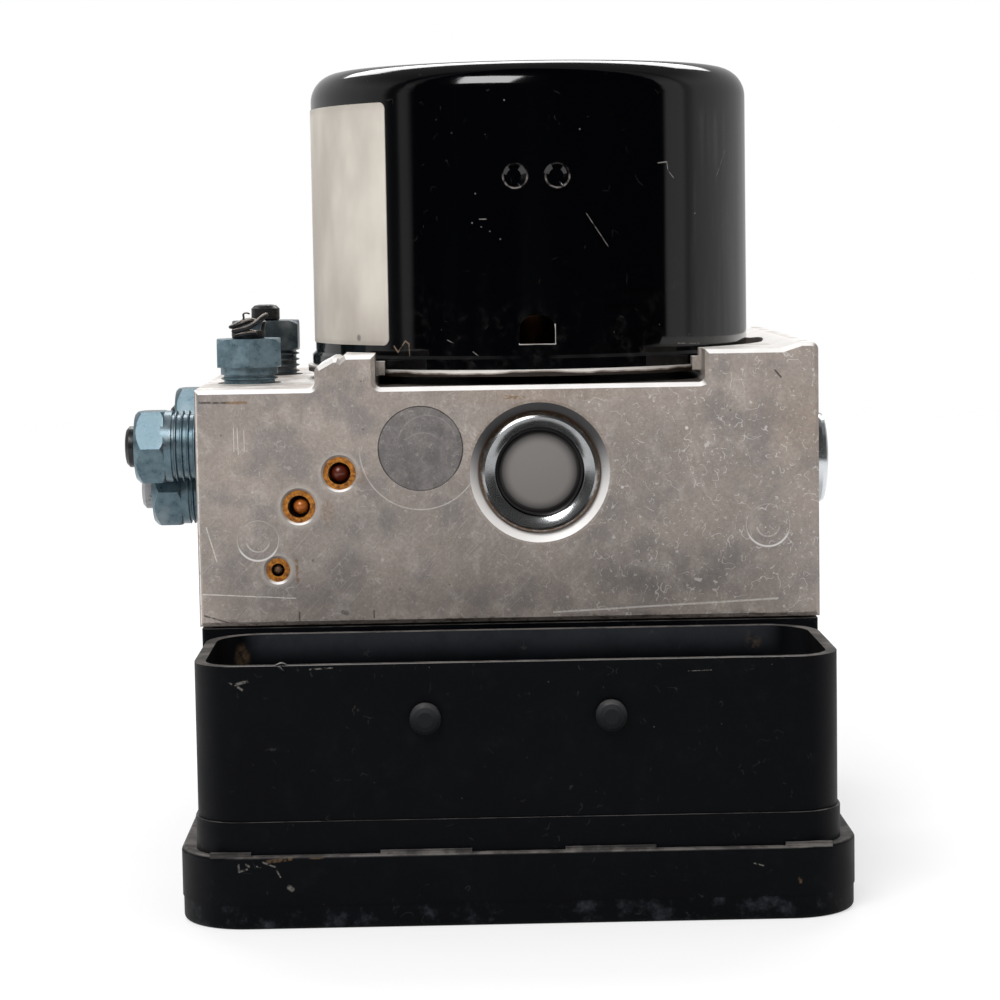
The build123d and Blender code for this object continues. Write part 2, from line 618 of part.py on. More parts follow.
def motor_housing():
    """Deep drawn can with a rounded top, a rolled lip, a window and two dimples."""
    body = cylinder(CAN_RADIUS, CAN_BOTTOM, CAN_TOP)
    body = fillet(body.edges().group_by(Axis.Z)[-1], CAN_TOP_FILLET)
    lip = cylinder(CAN_RADIUS + LIP_PROUD, CAN_BOTTOM, CAN_BOTTOM + LIP_HEIGHT)
    body += chamfer(lip.edges().group_by(Axis.Z)[-1], LIP_PROUD * 0.9)
    hollow = cylinder(CAN_RADIUS - CAN_WALL, CAN_BOTTOM - 1, CAN_CEILING)
    body -= fillet(hollow.edges().group_by(Axis.Z)[-1], CAN_TOP_FILLET - CAN_WALL)
    cup_bottom = CAN_CEILING - TOP_BEARING_WIDTH
    body += tube(TOP_BEARING_RADIUS + TOP_BEARING_CUP, TOP_BEARING_RADIUS, cup_bottom, CAN_CEILING + 0.5)
    plan = Rectangle(WINDOW_WIDTH, WINDOW_HEIGHT)
    plan = fillet(plan.vertices().sort_by(Axis.Y)[-2:], WINDOW_CORNER)
    window_z = CAN_BOTTOM + WINDOW_RISE + WINDOW_HEIGHT / 2
    window = Plane(origin=(0, 0, window_z), x_dir=(1, 0, 0), z_dir=(0, -1, 0)) * plan
    body -= extrude(window, CAN_RADIUS + 5)
    for x in (-DIMPLE_SPACING / 2, DIMPLE_SPACING / 2):
        face_y = -math.sqrt(CAN_RADIUS**2 - x**2)
        place = (x, face_y, CAN_TOP - DIMPLE_BELOW_TOP)
        floor_radius = DIMPLE_RADIUS - DIMPLE_TAPER
        bowl = [(-1, 0), (-1, DIMPLE_RADIUS), (0, DIMPLE_RADIUS), (DIMPLE_DEPTH, floor_radius), (DIMPLE_DEPTH, 0)]
        body -= turned(bowl, place, (0, 1, 0))
    return body


def motor_flange():
    """Round end plate of the motor, held under the stake lugs."""
    plate = tube(FLANGE_RADIUS, BEARING_RADIUS - 2, FLANGE_SEAT, CAN_BOTTOM)
    plate -= cylinder(TERMINAL_STEM_RADIUS + 0.1, FLANGE_SEAT - 1, CAN_BOTTOM + 1, TERMINAL_X)
    # A collar centres the plate on the bearing in the block
    return plate + tube(BEARING_RADIUS, BEARING_RADIUS - 2, BLOCK_TOP, FLANGE_SEAT + 0.1)


def motor_label():
    """Bare label wrapped round the left of the can."""
    outer = CAN_RADIUS + LABEL_THICKNESS
    low = CAN_BOTTOM + LABEL_RISE
    ring = tube(outer, CAN_RADIUS, low, low + LABEL_HEIGHT)
    start = math.radians(270 - LABEL_START)
    reach = 2 * outer
    fan = [(0, 0)]
    for i in range(4):
        angle = start - math.radians(LABEL_SPAN) * i / 3
        fan.append((reach * math.cos(angle), reach * math.sin(angle)))
    sector = extrude(Pos(0, 0, low - 1) * make_face(Polyline(*fan, close=True)), LABEL_HEIGHT + 2)
    label = ring & sector
    corners = [e for e in label.edges() if e.length < 2 * LABEL_THICKNESS]
    return fillet(corners, LABEL_CORNER)


def field_magnets():
    """Two curved magnets against the inside of the can."""
    outer = CAN_RADIUS - CAN_WALL
    ring = tube(outer, MAGNET_INNER, MAGNET_TOP - MAGNET_HEIGHT, MAGNET_TOP)
    half_gap = math.radians(180 - MAGNET_SPAN) / 2
    gap = outer * math.sin(half_gap)
    return ring - block_between(-gap, gap, -2 * outer, 2 * outer, 0, CAN_TOP)


def slot_cutters(margin, low, high):
    """Upright bars in a circle, where the coils pass through the core."""
    inner = SLOT_INNER + margin
    outer = ROTOR_RADIUS - SLOT_RIM - margin
    half = SLOT_WIDTH / 2 - margin
    bars = []
    for i in range(ROTOR_SLOTS):
        bar = block_between(inner, outer, -half, half, low, high)
        bars.append(Rot(0, 0, 360 / ROTOR_SLOTS * i) * bar)
    return bars


def rotor_core():
    """Laminated core with a closed slot for each coil side."""
    core = tube(ROTOR_RADIUS, SHAFT_RADIUS, ROTOR_BOTTOM, ROTOR_TOP)
    for bar in slot_cutters(0, ROTOR_BOTTOM - 1, ROTOR_TOP + 1):
        core -= bar
    return core


def rotor_windings():
    """Copper coils: bars in the slots, joined by a ring at each end."""
    outer = ROTOR_RADIUS - SLOT_RIM
    low = ROTOR_BOTTOM - WINDING_OVERHANG
    high = ROTOR_TOP + WINDING_OVERHANG
    body = tube(outer, SLOT_INNER, low, ROTOR_BOTTOM) + tube(outer, SLOT_INNER, ROTOR_TOP, high)
    for bar in slot_cutters(0.05, low + 0.5, high - 0.5):
        body += bar
    return body


def commutator():
    """Ring of copper bars with a slit between each pair."""
    top = COMMUTATOR_BOTTOM + COMMUTATOR_HEIGHT
    ring = tube(COMMUTATOR_RADIUS, SHAFT_RADIUS, COMMUTATOR_BOTTOM, top)
    for i in range(COMMUTATOR_BARS):
        slit = block_between(
            COMMUTATOR_RADIUS - 1.5, COMMUTATOR_RADIUS + 1, -COMMUTATOR_SLIT / 2, COMMUTATOR_SLIT / 2,
            COMMUTATOR_BOTTOM - 1, top + 1,
        )
        ring -= Rot(0, 0, 360 / COMMUTATOR_BARS * (i + 0.5)) * slit
    return ring


def motor_shaft():
    """Motor shaft with the eccentric journal of the pump turned on its lower end."""
    low = PUMP_Z - RING_WIDTH / 2
    shaft = cylinder(SHAFT_RADIUS, low, CAN_CEILING - 0.5)
    journal = cylinder(JOURNAL_RADIUS, low, PUMP_Z + RING_WIDTH / 2, ECCENTRICITY)
    return shaft + journal


def eccentric_bearing():
    """Needle bearing ring on the eccentric journal, which pushes the pistons."""
    return tube(RING_RADIUS, JOURNAL_RADIUS, PUMP_Z - RING_WIDTH / 2, PUMP_Z + RING_WIDTH / 2, ECCENTRICITY)


def lower_bearing():
    """Main bearing in the block, under the motor flange."""
    return tube(BEARING_RADIUS, SHAFT_RADIUS + RUNNING_FIT, BEARING_SEAT, BLOCK_TOP)


def upper_bearing():
    """Bush in the cup of the can."""
    return tube(TOP_BEARING_RADIUS, SHAFT_RADIUS + RUNNING_FIT, CAN_CEILING - TOP_BEARING_WIDTH, CAN_CEILING)


def brush_box(sign, margin, inner, length):
    """Space of one brush, grown by a margin on its sides."""
    x0, x1 = sorted((sign * inner, sign * (inner + length)))
    half_width = BRUSH_WIDTH / 2 + margin
    half_height = BRUSH_HEIGHT / 2 + margin
    return block_between(x0, x1, -half_width, half_width, BRUSH_Z - half_height, BRUSH_Z + half_height)


def brush_holder():
    """Plastic plate with two brush boxes and the stem that carries the motor's terminals."""
    plate = tube(BRUSH_PLATE_RADIUS, BEARING_RADIUS + 2, CAN_BOTTOM, BRUSH_PLATE_TOP)
    start = COMMUTATOR_RADIUS + 3
    for sign in (-1, 1):
        plate += brush_box(sign, BRUSH_BOX_WALL, start, BRUSH_LENGTH)
        plate -= brush_box(sign, BRUSH_SLIDE, COMMUTATOR_RADIUS - BRUSH_BOX_WALL, BRUSH_PLATE_RADIUS)
    plate += cylinder(TERMINAL_STEM_RADIUS, BOX_TOP, BRUSH_PLATE_TOP, TERMINAL_X)
    for y in (-TERMINAL_SPACING / 2, TERMINAL_SPACING / 2):
        plate -= cylinder(TERMINAL_RADIUS, 0, CAN_TOP, TERMINAL_X, y)
    return plate


def brushes():
    """Two carbon brushes beside the commutator."""
    pieces = [brush_box(s, 0, COMMUTATOR_RADIUS + BRUSH_GAP, BRUSH_LENGTH) for s in (-1, 1)]
    return Compound(children=pieces)


def motor_terminals():
    """Two contact pins from the brush plate down to the circuit board."""
    pins = []
    for y in (-TERMINAL_SPACING / 2, TERMINAL_SPACING / 2):
        pins.append(cylinder(TERMINAL_RADIUS, BOARD_BOTTOM - 0.5, BRUSH_PLATE_TOP + 1, TERMINAL_X, y))
    return Compound(children=pins)


def pump_piston(sign):
    """Pump piston with the head that its spring pushes on."""
    points = [
        (RING_REACH, 0),
        (RING_REACH, PISTON_RADIUS - 0.3),
        (RING_REACH + 0.3, PISTON_RADIUS),
        (PISTON_HEAD_Y, PISTON_RADIUS),
        (PISTON_HEAD_Y, PISTON_HEAD_RADIUS),
        (PISTON_HEAD_Y + PISTON_HEAD_LENGTH, PISTON_HEAD_RADIUS),
        (PISTON_HEAD_Y + PISTON_HEAD_LENGTH, 0),
    ]
    return turned(points, (0, 0, PUMP_Z), (0, sign, 0))


def pump_spring(sign):
    start = PISTON_HEAD_Y + PISTON_HEAD_LENGTH
    length = PUMP_COVER_Y - start
    origin = (0, sign * start, PUMP_Z)
    return spring(PUMP_SPRING_RADIUS, PUMP_SPRING_WIRE, PUMP_SPRING_TURNS, length, origin, (0, sign, 0))


def pump_cover(sign):
    """Round steel cover with a groove round its sunk middle disc."""
    groove_floor = BLOCK_BACK - PUMP_COVER_RECESS - 0.8
    disc_face = BLOCK_BACK - PUMP_COVER_RECESS
    edge = BLOCK_BACK - 0.35
    points = [
        (PUMP_COVER_Y, 0),
        (PUMP_COVER_Y, PUMP_COVER_RADIUS),
        (edge, PUMP_COVER_RADIUS),
        (BLOCK_BACK, PUMP_COVER_RADIUS - 0.35),
        (BLOCK_BACK, PUMP_COVER_GROOVE + 0.3),
        (BLOCK_BACK - 0.3, PUMP_COVER_GROOVE),
        (groove_floor, PUMP_COVER_GROOVE),
        (groove_floor, PUMP_COVER_DISC),
        (disc_face - 0.2, PUMP_COVER_DISC),
        (disc_face, PUMP_COVER_DISC - 0.2),
        (disc_face, 0),
    ]
    return turned(points, (0, 0, PUMP_Z), (0, sign, 0))


def accumulator_piston(sign):
    """Cup shaped piston with a seal groove, resting at the inner end of its bore."""
    radius = ACCUMULATOR_RADIUS - PISTON_FIT
    start = ACCUMULATOR_END + ACCUMULATOR_END_GAP
    floor = start + ACCUMULATOR_PISTON_FLOOR
    end = start + ACCUMULATOR_PISTON_LENGTH
    points = [
        (start, 0),
        (start, radius - 0.6),
        (start + 0.6, radius),
        (start + 2.4, radius),
        (start + 2.4, radius - 1.2),
        (start + 4.2, radius - 1.2),
        (start + 4.2, radius),
        (end, radius),
        (end, radius - 0.9),
        (floor, radius - 0.9),
        (floor, 0),
    ]
    return turned(points, (0, sign * ACCUMULATOR_Y, ACCUMULATOR_Z), (1, 0, 0))


def accumulator_spring(sign):
    start = ACCUMULATOR_END + ACCUMULATOR_END_GAP + ACCUMULATOR_PISTON_FLOOR
    length = BLOCK_RIGHT + COVER_PROUD - COVER_WALL - start
    origin = (start, sign * ACCUMULATOR_Y, ACCUMULATOR_Z)
    return spring(
        ACCUMULATOR_SPRING_RADIUS, ACCUMULATOR_SPRING_WIRE, ACCUMULATOR_SPRING_TURNS, length, origin, (1, 0, 0)
    )


def accumulator_cover(sign):
    """Pot shaped cap whose flange is pressed into the right face."""
    inner = COVER_POT_RADIUS - COVER_POT_WALL
    seat = BLOCK_RIGHT - COVER_SEAT_DEPTH
    rim = BLOCK_RIGHT - COVER_SUNK
    face = BLOCK_RIGHT + COVER_PROUD
    points = [
        (seat, inner),
        (seat, COVER_RADIUS),
        (rim, COVER_RADIUS),
        (rim, COVER_POT_RADIUS),
        (face - COVER_POT_EDGE, COVER_POT_RADIUS),
        (face - COVER_POT_EDGE * 0.35, COVER_POT_RADIUS - COVER_POT_EDGE * 0.25),
        (face, COVER_POT_RADIUS - COVER_POT_EDGE),
        (face, 0),
        (face - COVER_WALL, 0),
        (face - COVER_WALL, inner),
    ]
    return turned(points, (0, sign * ACCUMULATOR_Y, ACCUMULATOR_Z), (1, 0, 0))


def disc_plug():
    """Flush disc that closes a drilling in the front face."""
    points = [
        (0.05, 0),
        (0.05, DISC_PLUG_RADIUS - 0.25),
        (0.3, DISC_PLUG_RADIUS),
        (DISC_PLUG_DEPTH, DISC_PLUG_RADIUS),
        (DISC_PLUG_DEPTH, 0),
    ]
    return turned(points, (DISC_PLUG_X, BLOCK_FRONT, DISC_PLUG_Z), (0, 1, 0))


def channel_plugs():
    """Small pressed plugs with a recess that ends in a ball."""
    plugs = []
    for x, z, outer, ring, recess in FRONT_PLUGS:
        back = FRONT_PLUG_DEPTH + FRONT_PLUG_SUNK
        points = [
            (FRONT_PLUG_SUNK, recess),
            (FRONT_PLUG_SUNK, ring),
            (back, ring),
            (back, 0),
            (FRONT_PLUG_SUNK + FRONT_PLUG_RECESS, 0),
            (FRONT_PLUG_SUNK + FRONT_PLUG_RECESS + 0.3, recess * 0.55),
            (FRONT_PLUG_SUNK + FRONT_PLUG_RECESS + 1.0, recess * 0.9),
            (FRONT_PLUG_SUNK + FRONT_PLUG_RECESS + 1.0, recess),
        ]
        plugs.append(turned(points, (x, BLOCK_FRONT, z), (0, 1, 0)))
    return Compound(children=plugs)


def valve_cartridge(x, y):
    """Valve body in the block with its thin dome, which hangs down into the coil."""
    inner = DOME_RADIUS - DOME_WALL
    seat_top = BLOCK_BOTTOM + VALVE_SEAT_DEPTH
    points = [
        (DOME_BOTTOM, 0),
        (DOME_BOTTOM, DOME_RADIUS - 0.5),
        (DOME_BOTTOM + 0.5, DOME_RADIUS),
        (BLOCK_BOTTOM, DOME_RADIUS),
        (BLOCK_BOTTOM, VALVE_SEAT_RADIUS),
        (seat_top - 1, VALVE_SEAT_RADIUS),
        (seat_top, VALVE_SEAT_RADIUS - 1),
        (seat_top, NEEDLE_RADIUS + PISTON_FIT),
        (BLOCK_BOTTOM, NEEDLE_RADIUS + PISTON_FIT),
        (BLOCK_BOTTOM, inner),
        (POLE_TOP, inner),
        (POLE_TOP, 0),
    ]
    return turned(points, (x, y, 0), (0, 0, 1))


def valve_row(y):
    """Four valve cartridges side by side."""
    return Compound(children=[valve_cartridge(x, y) for x in VALVE_X])


def valve_plunger(x, y):
    """Iron plunger with its needle, closed at rest and drawn down by the coil."""
    radius = DOME_RADIUS - DOME_WALL - PISTON_FIT
    points = [
        (PLUNGER_TOP - PLUNGER_LENGTH, 0),
        (PLUNGER_TOP - PLUNGER_LENGTH, radius),
        (PLUNGER_TOP, radius),
        (PLUNGER_TOP, NEEDLE_RADIUS),
        (PLUNGER_TOP + NEEDLE_LENGTH, NEEDLE_RADIUS),
        (PLUNGER_TOP + NEEDLE_LENGTH + NEEDLE_RADIUS, 0),
    ]
    return turned(points, (x, y, 0), (0, 0, 1))


def coil_places():
    return [(x, y) for x in VALVE_X for y in VALVE_Y]


def solenoid_coils():
    """Wound coils round the valve domes."""
    top = COIL_BOTTOM + COIL_HEIGHT
    return Compound(children=[tube(COIL_RADIUS, COIL_BORE, COIL_BOTTOM, top, x, y) for x, y in coil_places()])


def coil_yokes():
    """Steel can round each coil, closed below and open to the block above."""
    cans = []
    for x, y in coil_places():
        top = COIL_BOTTOM + COIL_HEIGHT
        can = tube(COIL_RADIUS + YOKE_WALL, COIL_RADIUS, BASE_TOP, top, x, y)
        can += tube(COIL_RADIUS + 0.2, COIL_BORE, BASE_TOP, COIL_BOTTOM, x, y)
        cans.append(can)
    return Compound(children=cans)


def base_plan(inset):
    return rounded_plan(
        -UNIT_LEFT + inset,
        UNIT_RIGHT - inset,
        -UNIT_FRONT + inset,
        UNIT_BACK - inset,
        UNIT_CORNER - inset,
        max(UNIT_BACK_CORNER - inset, 0.5),
    )


def box_plan(inset, corner):
    """Plan of the coil box under the block."""
    back = BOX_BACK - inset
    return rounded_plan(-BOX_LEFT + inset, BOX_RIGHT - inset, -back, back, corner, corner)


def socket_plan(inset, step=0.0):
    """Plan of the connector socket, grown by the step near its foot."""
    return rounded_plan(
        -SOCKET_LEFT - step + inset,
        SOCKET_RIGHT + step - inset,
        -SOCKET_FRONT - step + inset,
        -SOCKET_BACK + step - inset,
        SOCKET_FRONT_CORNER - inset,
        SOCKET_BACK_CORNER - inset,
    )


def signal_places():
    """Columns and rows of the small contacts."""
    middle = -(SOCKET_FRONT + SOCKET_BACK) / 2
    places = []
    for column in range(SIGNAL_COLUMNS):
        for row in range(SIGNAL_ROWS):
            offset = (row - (SIGNAL_ROWS - 1) / 2) * SIGNAL_ROW_PITCH
            places.append((SIGNAL_START + column * SIGNAL_PITCH, middle + offset))
    return places


def signal_contacts():
    half = SIGNAL_WIDTH / 2
    low = BOARD_BOTTOM - 0.6
    return [block_between(x - half, x + half, y - half, y + half, low, SIGNAL_TIP) for x, y in signal_places()]


def power_contacts():
    middle = -(SOCKET_FRONT + SOCKET_BACK) / 2
    half = BLADE_WIDTH / 2
    thin = BLADE_THICKNESS / 2
    low = BOARD_BOTTOM - 0.6
    return [block_between(x - thin, x + thin, middle - half, middle + half, low, BLADE_TIP) for x in BLADE_X]


def board_posts():
    """Places of the posts that the board rests against."""
    front = BOARD_POST_EDGE - UNIT_FRONT
    return [
        (BOARD_POST_EDGE - UNIT_LEFT, 0),
        (UNIT_RIGHT - BOARD_POST_EDGE, 0),
        (BOARD_POST_CORNER - UNIT_LEFT, front),
        (UNIT_RIGHT - BOARD_POST_CORNER, front),
    ]


def lock_pin(x):
    """Domed pin on the front wall, which the plug's lever hooks on."""
    points = [
        (-0.5, 0),
        (-0.5, LOCK_PIN_RADIUS),
        (LOCK_PIN_PROUD - 0.7, LOCK_PIN_RADIUS),
        (LOCK_PIN_PROUD - 0.2, LOCK_PIN_RADIUS - 0.5),
        (LOCK_PIN_PROUD, LOCK_PIN_RADIUS - 1.2),
        (LOCK_PIN_PROUD, 0),
    ]
    return turned(points, (x, -SOCKET_FRONT, LOCK_PIN_Z), (0, -1, 0))


def ecu_housing():
    """Moulded housing: base tray, coil box under the block and connector socket."""
    base = slab(base_plan(0), COVER_THICKNESS, BASE_TOP)
    base = fillet(base.edges().group_by(Axis.Z)[-1], BASE_EDGE)
    lips_front = -UNIT_FRONT + BASE_EDGE
    lips_back = lips_front + LIP_THICKNESS
    for left, right in BASE_LIPS:
        base += block_between(left, right, lips_front, lips_back, BASE_TOP - 0.5, BASE_TOP + LIP_RISE)
    body = base + slab(box_plan(0, 0.8), BASE_TOP - 0.5, BOX_TOP)
    body += slab(socket_plan(0), BASE_TOP - 0.5, SOCKET_TOP)
    body += slab(socket_plan(0, SOCKET_STEP), BASE_TOP - 0.5, SOCKET_STEP_Z)
    for x in LOCK_PIN_X:
        body += lock_pin(x)
    # Hollows: socket, coil box and board tray
    body -= slab(socket_plan(SOCKET_WALL), SOCKET_FLOOR, SOCKET_TOP + 1)
    under = slab(socket_plan(SOCKET_WALL), COVER_THICKNESS, SOCKET_FLOOR - SOCKET_FLOOR_THICKNESS)
    coil_space = slab(box_plan(BOX_WALL, 1.5), BASE_TOP, BOX_TOP + 1)
    for x in SCREW_X:
        for y in SCREW_Y:
            coil_space -= cylinder(SCREW_COLUMN, BASE_TOP - 1, BOX_TOP + 2, x, y)
    body -= coil_space
    tray = slab(base_plan(BASE_WALL), COVER_THICKNESS - 1, BOARD_CEILING) + under
    for x, y in board_posts():
        tray -= cylinder(BOARD_POST_RADIUS, BOARD_TOP, SOCKET_FLOOR, x, y)
    body -= tray
    for x in SCREW_X:
        for y in SCREW_Y:
            body -= cylinder(SCREW_RADIUS + 0.2, COVER_THICKNESS, BOX_TOP + 1, x, y)
    for y in (-TERMINAL_SPACING / 2, TERMINAL_SPACING / 2):
        body -= cylinder(TERMINAL_RADIUS, COVER_THICKNESS, BASE_TOP + 1, TERMINAL_X, y)
    for contact in signal_contacts() + power_contacts():
        body -= contact
    return body


def ecu_cover():
    """Bottom cover with a rounded lower edge, hollowed under the board."""
    cover = slab(base_plan(COVER_INSET), 0, COVER_THICKNESS)
    cover = fillet(cover.edges().group_by(Axis.Z)[0], COVER_EDGE)
    return cover - slab(base_plan(BASE_WALL), COVER_SKIN, COVER_THICKNESS + 1)


def ecu_gasket():
    """Flat seal between the coil box and the block."""
    return slab(box_plan(GASKET_INSET, 1.0) - box_plan(BOX_WALL, 0.8), BOX_TOP, BLOCK_BOTTOM)


def circuit_board():
    """Board held against the posts of the housing, with holes for what passes through it."""
    board = slab(base_plan(BASE_WALL + BOARD_GAP), BOARD_BOTTOM, BOARD_TOP)
    for x in SCREW_X:
        for y in SCREW_Y:
            board -= cylinder(SCREW_HEAD_RADIUS + 0.5, BOARD_BOTTOM - 1, BOARD_TOP + 1, x, y)
    for y in (-TERMINAL_SPACING / 2, TERMINAL_SPACING / 2):
        board -= cylinder(TERMINAL_RADIUS, BOARD_BOTTOM - 1, BOARD_TOP + 1, TERMINAL_X, y)
    for contact in signal_contacts() + power_contacts():
        board -= contact
    return board


def board_components():
    """Processor, drivers and capacitors on the lower side of the board."""
    chips = (
        (-18.0, -22.0, 22.0, 22.0, 1.8),
        (18.0, -24.0, 14.0, 10.0, 1.8),
        (18.0, 4.0, 16.0, 12.0, 2.2),
        (-10.0, 14.0, 12.0, 9.0, 1.8),
        (-30.0, 22.0, 7.0, 7.0, 2.4),
        (28.0, 24.0, 7.0, 7.0, 2.4),
    )
    pieces = []
    for x, y, width, depth, height in chips:
        pieces.append(Pos(x, y, BOARD_BOTTOM - height / 2) * Box(width, depth, height))
    return Compound(children=pieces)


def ecu_screws():
    """Four screws from the board tray up through the housing into the block."""
    screws = []
    for x in SCREW_X:
        for y in SCREW_Y:
            head_low = BOARD_CEILING - SCREW_HEAD_HEIGHT
            head = cylinder(SCREW_HEAD_RADIUS, head_low, BOARD_CEILING, x, y)
            stem = cylinder(SCREW_RADIUS, BOARD_CEILING - 1, BLOCK_BOTTOM + SCREW_IN_BLOCK, x, y)
            recess = cylinder(SCREW_RADIUS * 0.7, head_low - 1, BOARD_CEILING - 0.8, x, y)
            screws.append(head + stem - recess)
    return Compound(children=screws)


def make_parts():
    """Every node of the unit by name."""
    parts = {
        "valve_block": valve_block(),
        "motor_housing": motor_housing(),
        "motor_flange": motor_flange(),
        "motor_label": motor_label(),
        "field_magnets": field_magnets(),
        "rotor_core": rotor_core(),
        "rotor_windings": rotor_windings(),
        "commutator": commutator(),
        "motor_shaft": motor_shaft(),
        "eccentric_bearing": eccentric_bearing(),
        "upper_bearing": upper_bearing(),
        "lower_bearing": lower_bearing(),
        "brush_holder": brush_holder(),
        "brushes": brushes(),
        "motor_terminals": motor_terminals(),
        "disc_plug": disc_plug(),
        "channel_plugs": channel_plugs(),
        "front_valves": valve_row(VALVE_Y[0]),
        "rear_valves": valve_row(VALVE_Y[1]),
        "solenoid_coils": solenoid_coils(),
        "coil_yokes": coil_yokes(),
        "ecu_housing": ecu_housing(),
        "ecu_cover": ecu_cover(),
        "ecu_gasket": ecu_gasket(),
        "circuit_board": circuit_board(),
        "board_components": board_components(),
        "signal_contacts": Compound(children=signal_contacts()),
        "power_contacts": Compound(children=power_contacts()),
        "ecu_screws": ecu_screws(),
    }
    for name, sign in (("front", -1), ("rear", 1)):
        parts["pump_piston_" + name] = pump_piston(sign)
        parts["pump_spring_" + name] = pump_spring(sign)
        parts["pump_cover_" + name] = pump_cover(sign)
        parts["accumulator_piston_" + name] = accumulator_piston(sign)
        parts["accumulator_spring_" + name] = accumulator_spring(sign)
        parts["accumulator_cover_" + name] = accumulator_cover(sign)
    for index, (x, y) in enumerate(coil_places(), start=1):
        parts["valve_plunger_" + str(index)] = valve_plunger(x, y)
    left = (-1, 0, 0)
    caps = []
    for index, (behind, z, height, cap, rise) in enumerate(SIDE_PORTS, start=1):
        origin = side_port(behind, z)
        parts["side_plug_" + str(index)] = hex_plug(
            LARGE_THREAD, LARGE_HEX, height, SIDE_HEX_LENGTH, PLUG_COLLAR, SIDE_END_CHAMFER,
            origin, left, SIDE_HEX_TURN,
        )
        caps.append(port_cap(cap, rise, height, origin, left))
    parts["side_plug_caps"] = Compound(children=caps)
    up = (0, 0, 1)
    front = top_port(TOP_PORT_FRONT)
    rear = top_port(TOP_PORT_REAR)
    parts["top_plug_front"] = hex_plug(
        SMALL_THREAD, SMALL_HEX, TOP_FRONT_HEIGHT, TOP_FRONT_HEX_LENGTH, PLUG_COLLAR, PLUG_END_CHAMFER,
        front, up, TOP_FRONT_HEX_TURN,
    )
    parts["top_plug_rear"] = hex_plug(
        LARGE_THREAD, LARGE_HEX, TOP_REAR_HEIGHT, TOP_REAR_HEX_LENGTH, 0, PLUG_END_CHAMFER,
        rear, up, TOP_REAR_HEX_TURN,
    )
    parts["top_cap_front"] = port_cap(*TOP_FRONT_CAP, TOP_FRONT_HEIGHT, front, up)
    parts["top_cap_rear"] = port_cap(*TOP_REAR_CAP, TOP_REAR_HEIGHT, rear, up)
    return parts


def main():
    os.makedirs("parts", exist_ok=True)
    for name, shape in make_parts().items():
        shape.label = name
        export_step(shape, "parts/" + name + ".step")


main()
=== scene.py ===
import json
import math

import bmesh
import bpy
from mathutils import Matrix, Vector

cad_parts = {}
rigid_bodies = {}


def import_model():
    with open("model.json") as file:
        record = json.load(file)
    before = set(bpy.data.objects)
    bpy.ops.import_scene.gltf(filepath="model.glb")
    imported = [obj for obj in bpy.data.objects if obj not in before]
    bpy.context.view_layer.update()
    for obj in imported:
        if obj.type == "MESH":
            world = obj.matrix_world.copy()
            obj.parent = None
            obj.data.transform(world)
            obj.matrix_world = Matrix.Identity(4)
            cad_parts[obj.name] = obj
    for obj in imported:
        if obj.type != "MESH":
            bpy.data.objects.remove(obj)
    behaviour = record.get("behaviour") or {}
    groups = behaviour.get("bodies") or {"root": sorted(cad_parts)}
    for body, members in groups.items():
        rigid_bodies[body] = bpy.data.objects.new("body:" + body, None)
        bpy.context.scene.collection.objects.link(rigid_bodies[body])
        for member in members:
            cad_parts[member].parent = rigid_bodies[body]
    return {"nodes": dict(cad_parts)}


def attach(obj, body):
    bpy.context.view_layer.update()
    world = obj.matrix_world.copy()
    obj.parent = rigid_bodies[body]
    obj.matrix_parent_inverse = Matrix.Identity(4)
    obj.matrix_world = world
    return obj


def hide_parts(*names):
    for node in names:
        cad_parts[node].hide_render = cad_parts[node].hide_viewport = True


# Brake hydraulic unit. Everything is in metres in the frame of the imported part;
# the numbers below are written in millimetres and scaled by MM.
MM = 0.001

for old in list(bpy.data.objects):
    bpy.data.objects.remove(old)

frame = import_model()
bpy.context.view_layer.update()
scene = bpy.context.scene
scene.view_settings.view_transform = "Standard"
nodes = frame["nodes"]

# Camera, solved from the receding edges in the photograph: place in millimetres, turns in radians
CAMERA_PLACE = (-14.169, -498.701, 102.866)
CAMERA_YAW = 0.0163327
CAMERA_PITCH = 0.0929789
CAMERA_ROLL = -0.0163514
CAMERA_LENS = 100.0
CAMERA_SENSOR = 36.0


def make_camera():
    data = bpy.data.cameras.new("camera")
    data.lens = CAMERA_LENS
    data.sensor_width = CAMERA_SENSOR
    data.clip_start = 0.01
    data.clip_end = 20
    camera = bpy.data.objects.new("camera", data)
    scene.collection.objects.link(camera)
    level = math.cos(CAMERA_PITCH)
    ahead = Vector((math.sin(CAMERA_YAW) * level, math.cos(CAMERA_YAW) * level, -math.sin(CAMERA_PITCH)))
    right = Vector((math.cos(CAMERA_YAW), -math.sin(CAMERA_YAW), 0))
    up = right.cross(ahead)
    rolled_right = right * math.cos(CAMERA_ROLL) + up * math.sin(CAMERA_ROLL)
    rolled_up = up * math.cos(CAMERA_ROLL) - right * math.sin(CAMERA_ROLL)
    turn = Matrix((rolled_right, rolled_up, -ahead)).transposed()
    camera.matrix_world = Matrix.Translation(Vector(CAMERA_PLACE) * MM) @ turn.to_4x4()
    scene.camera = camera


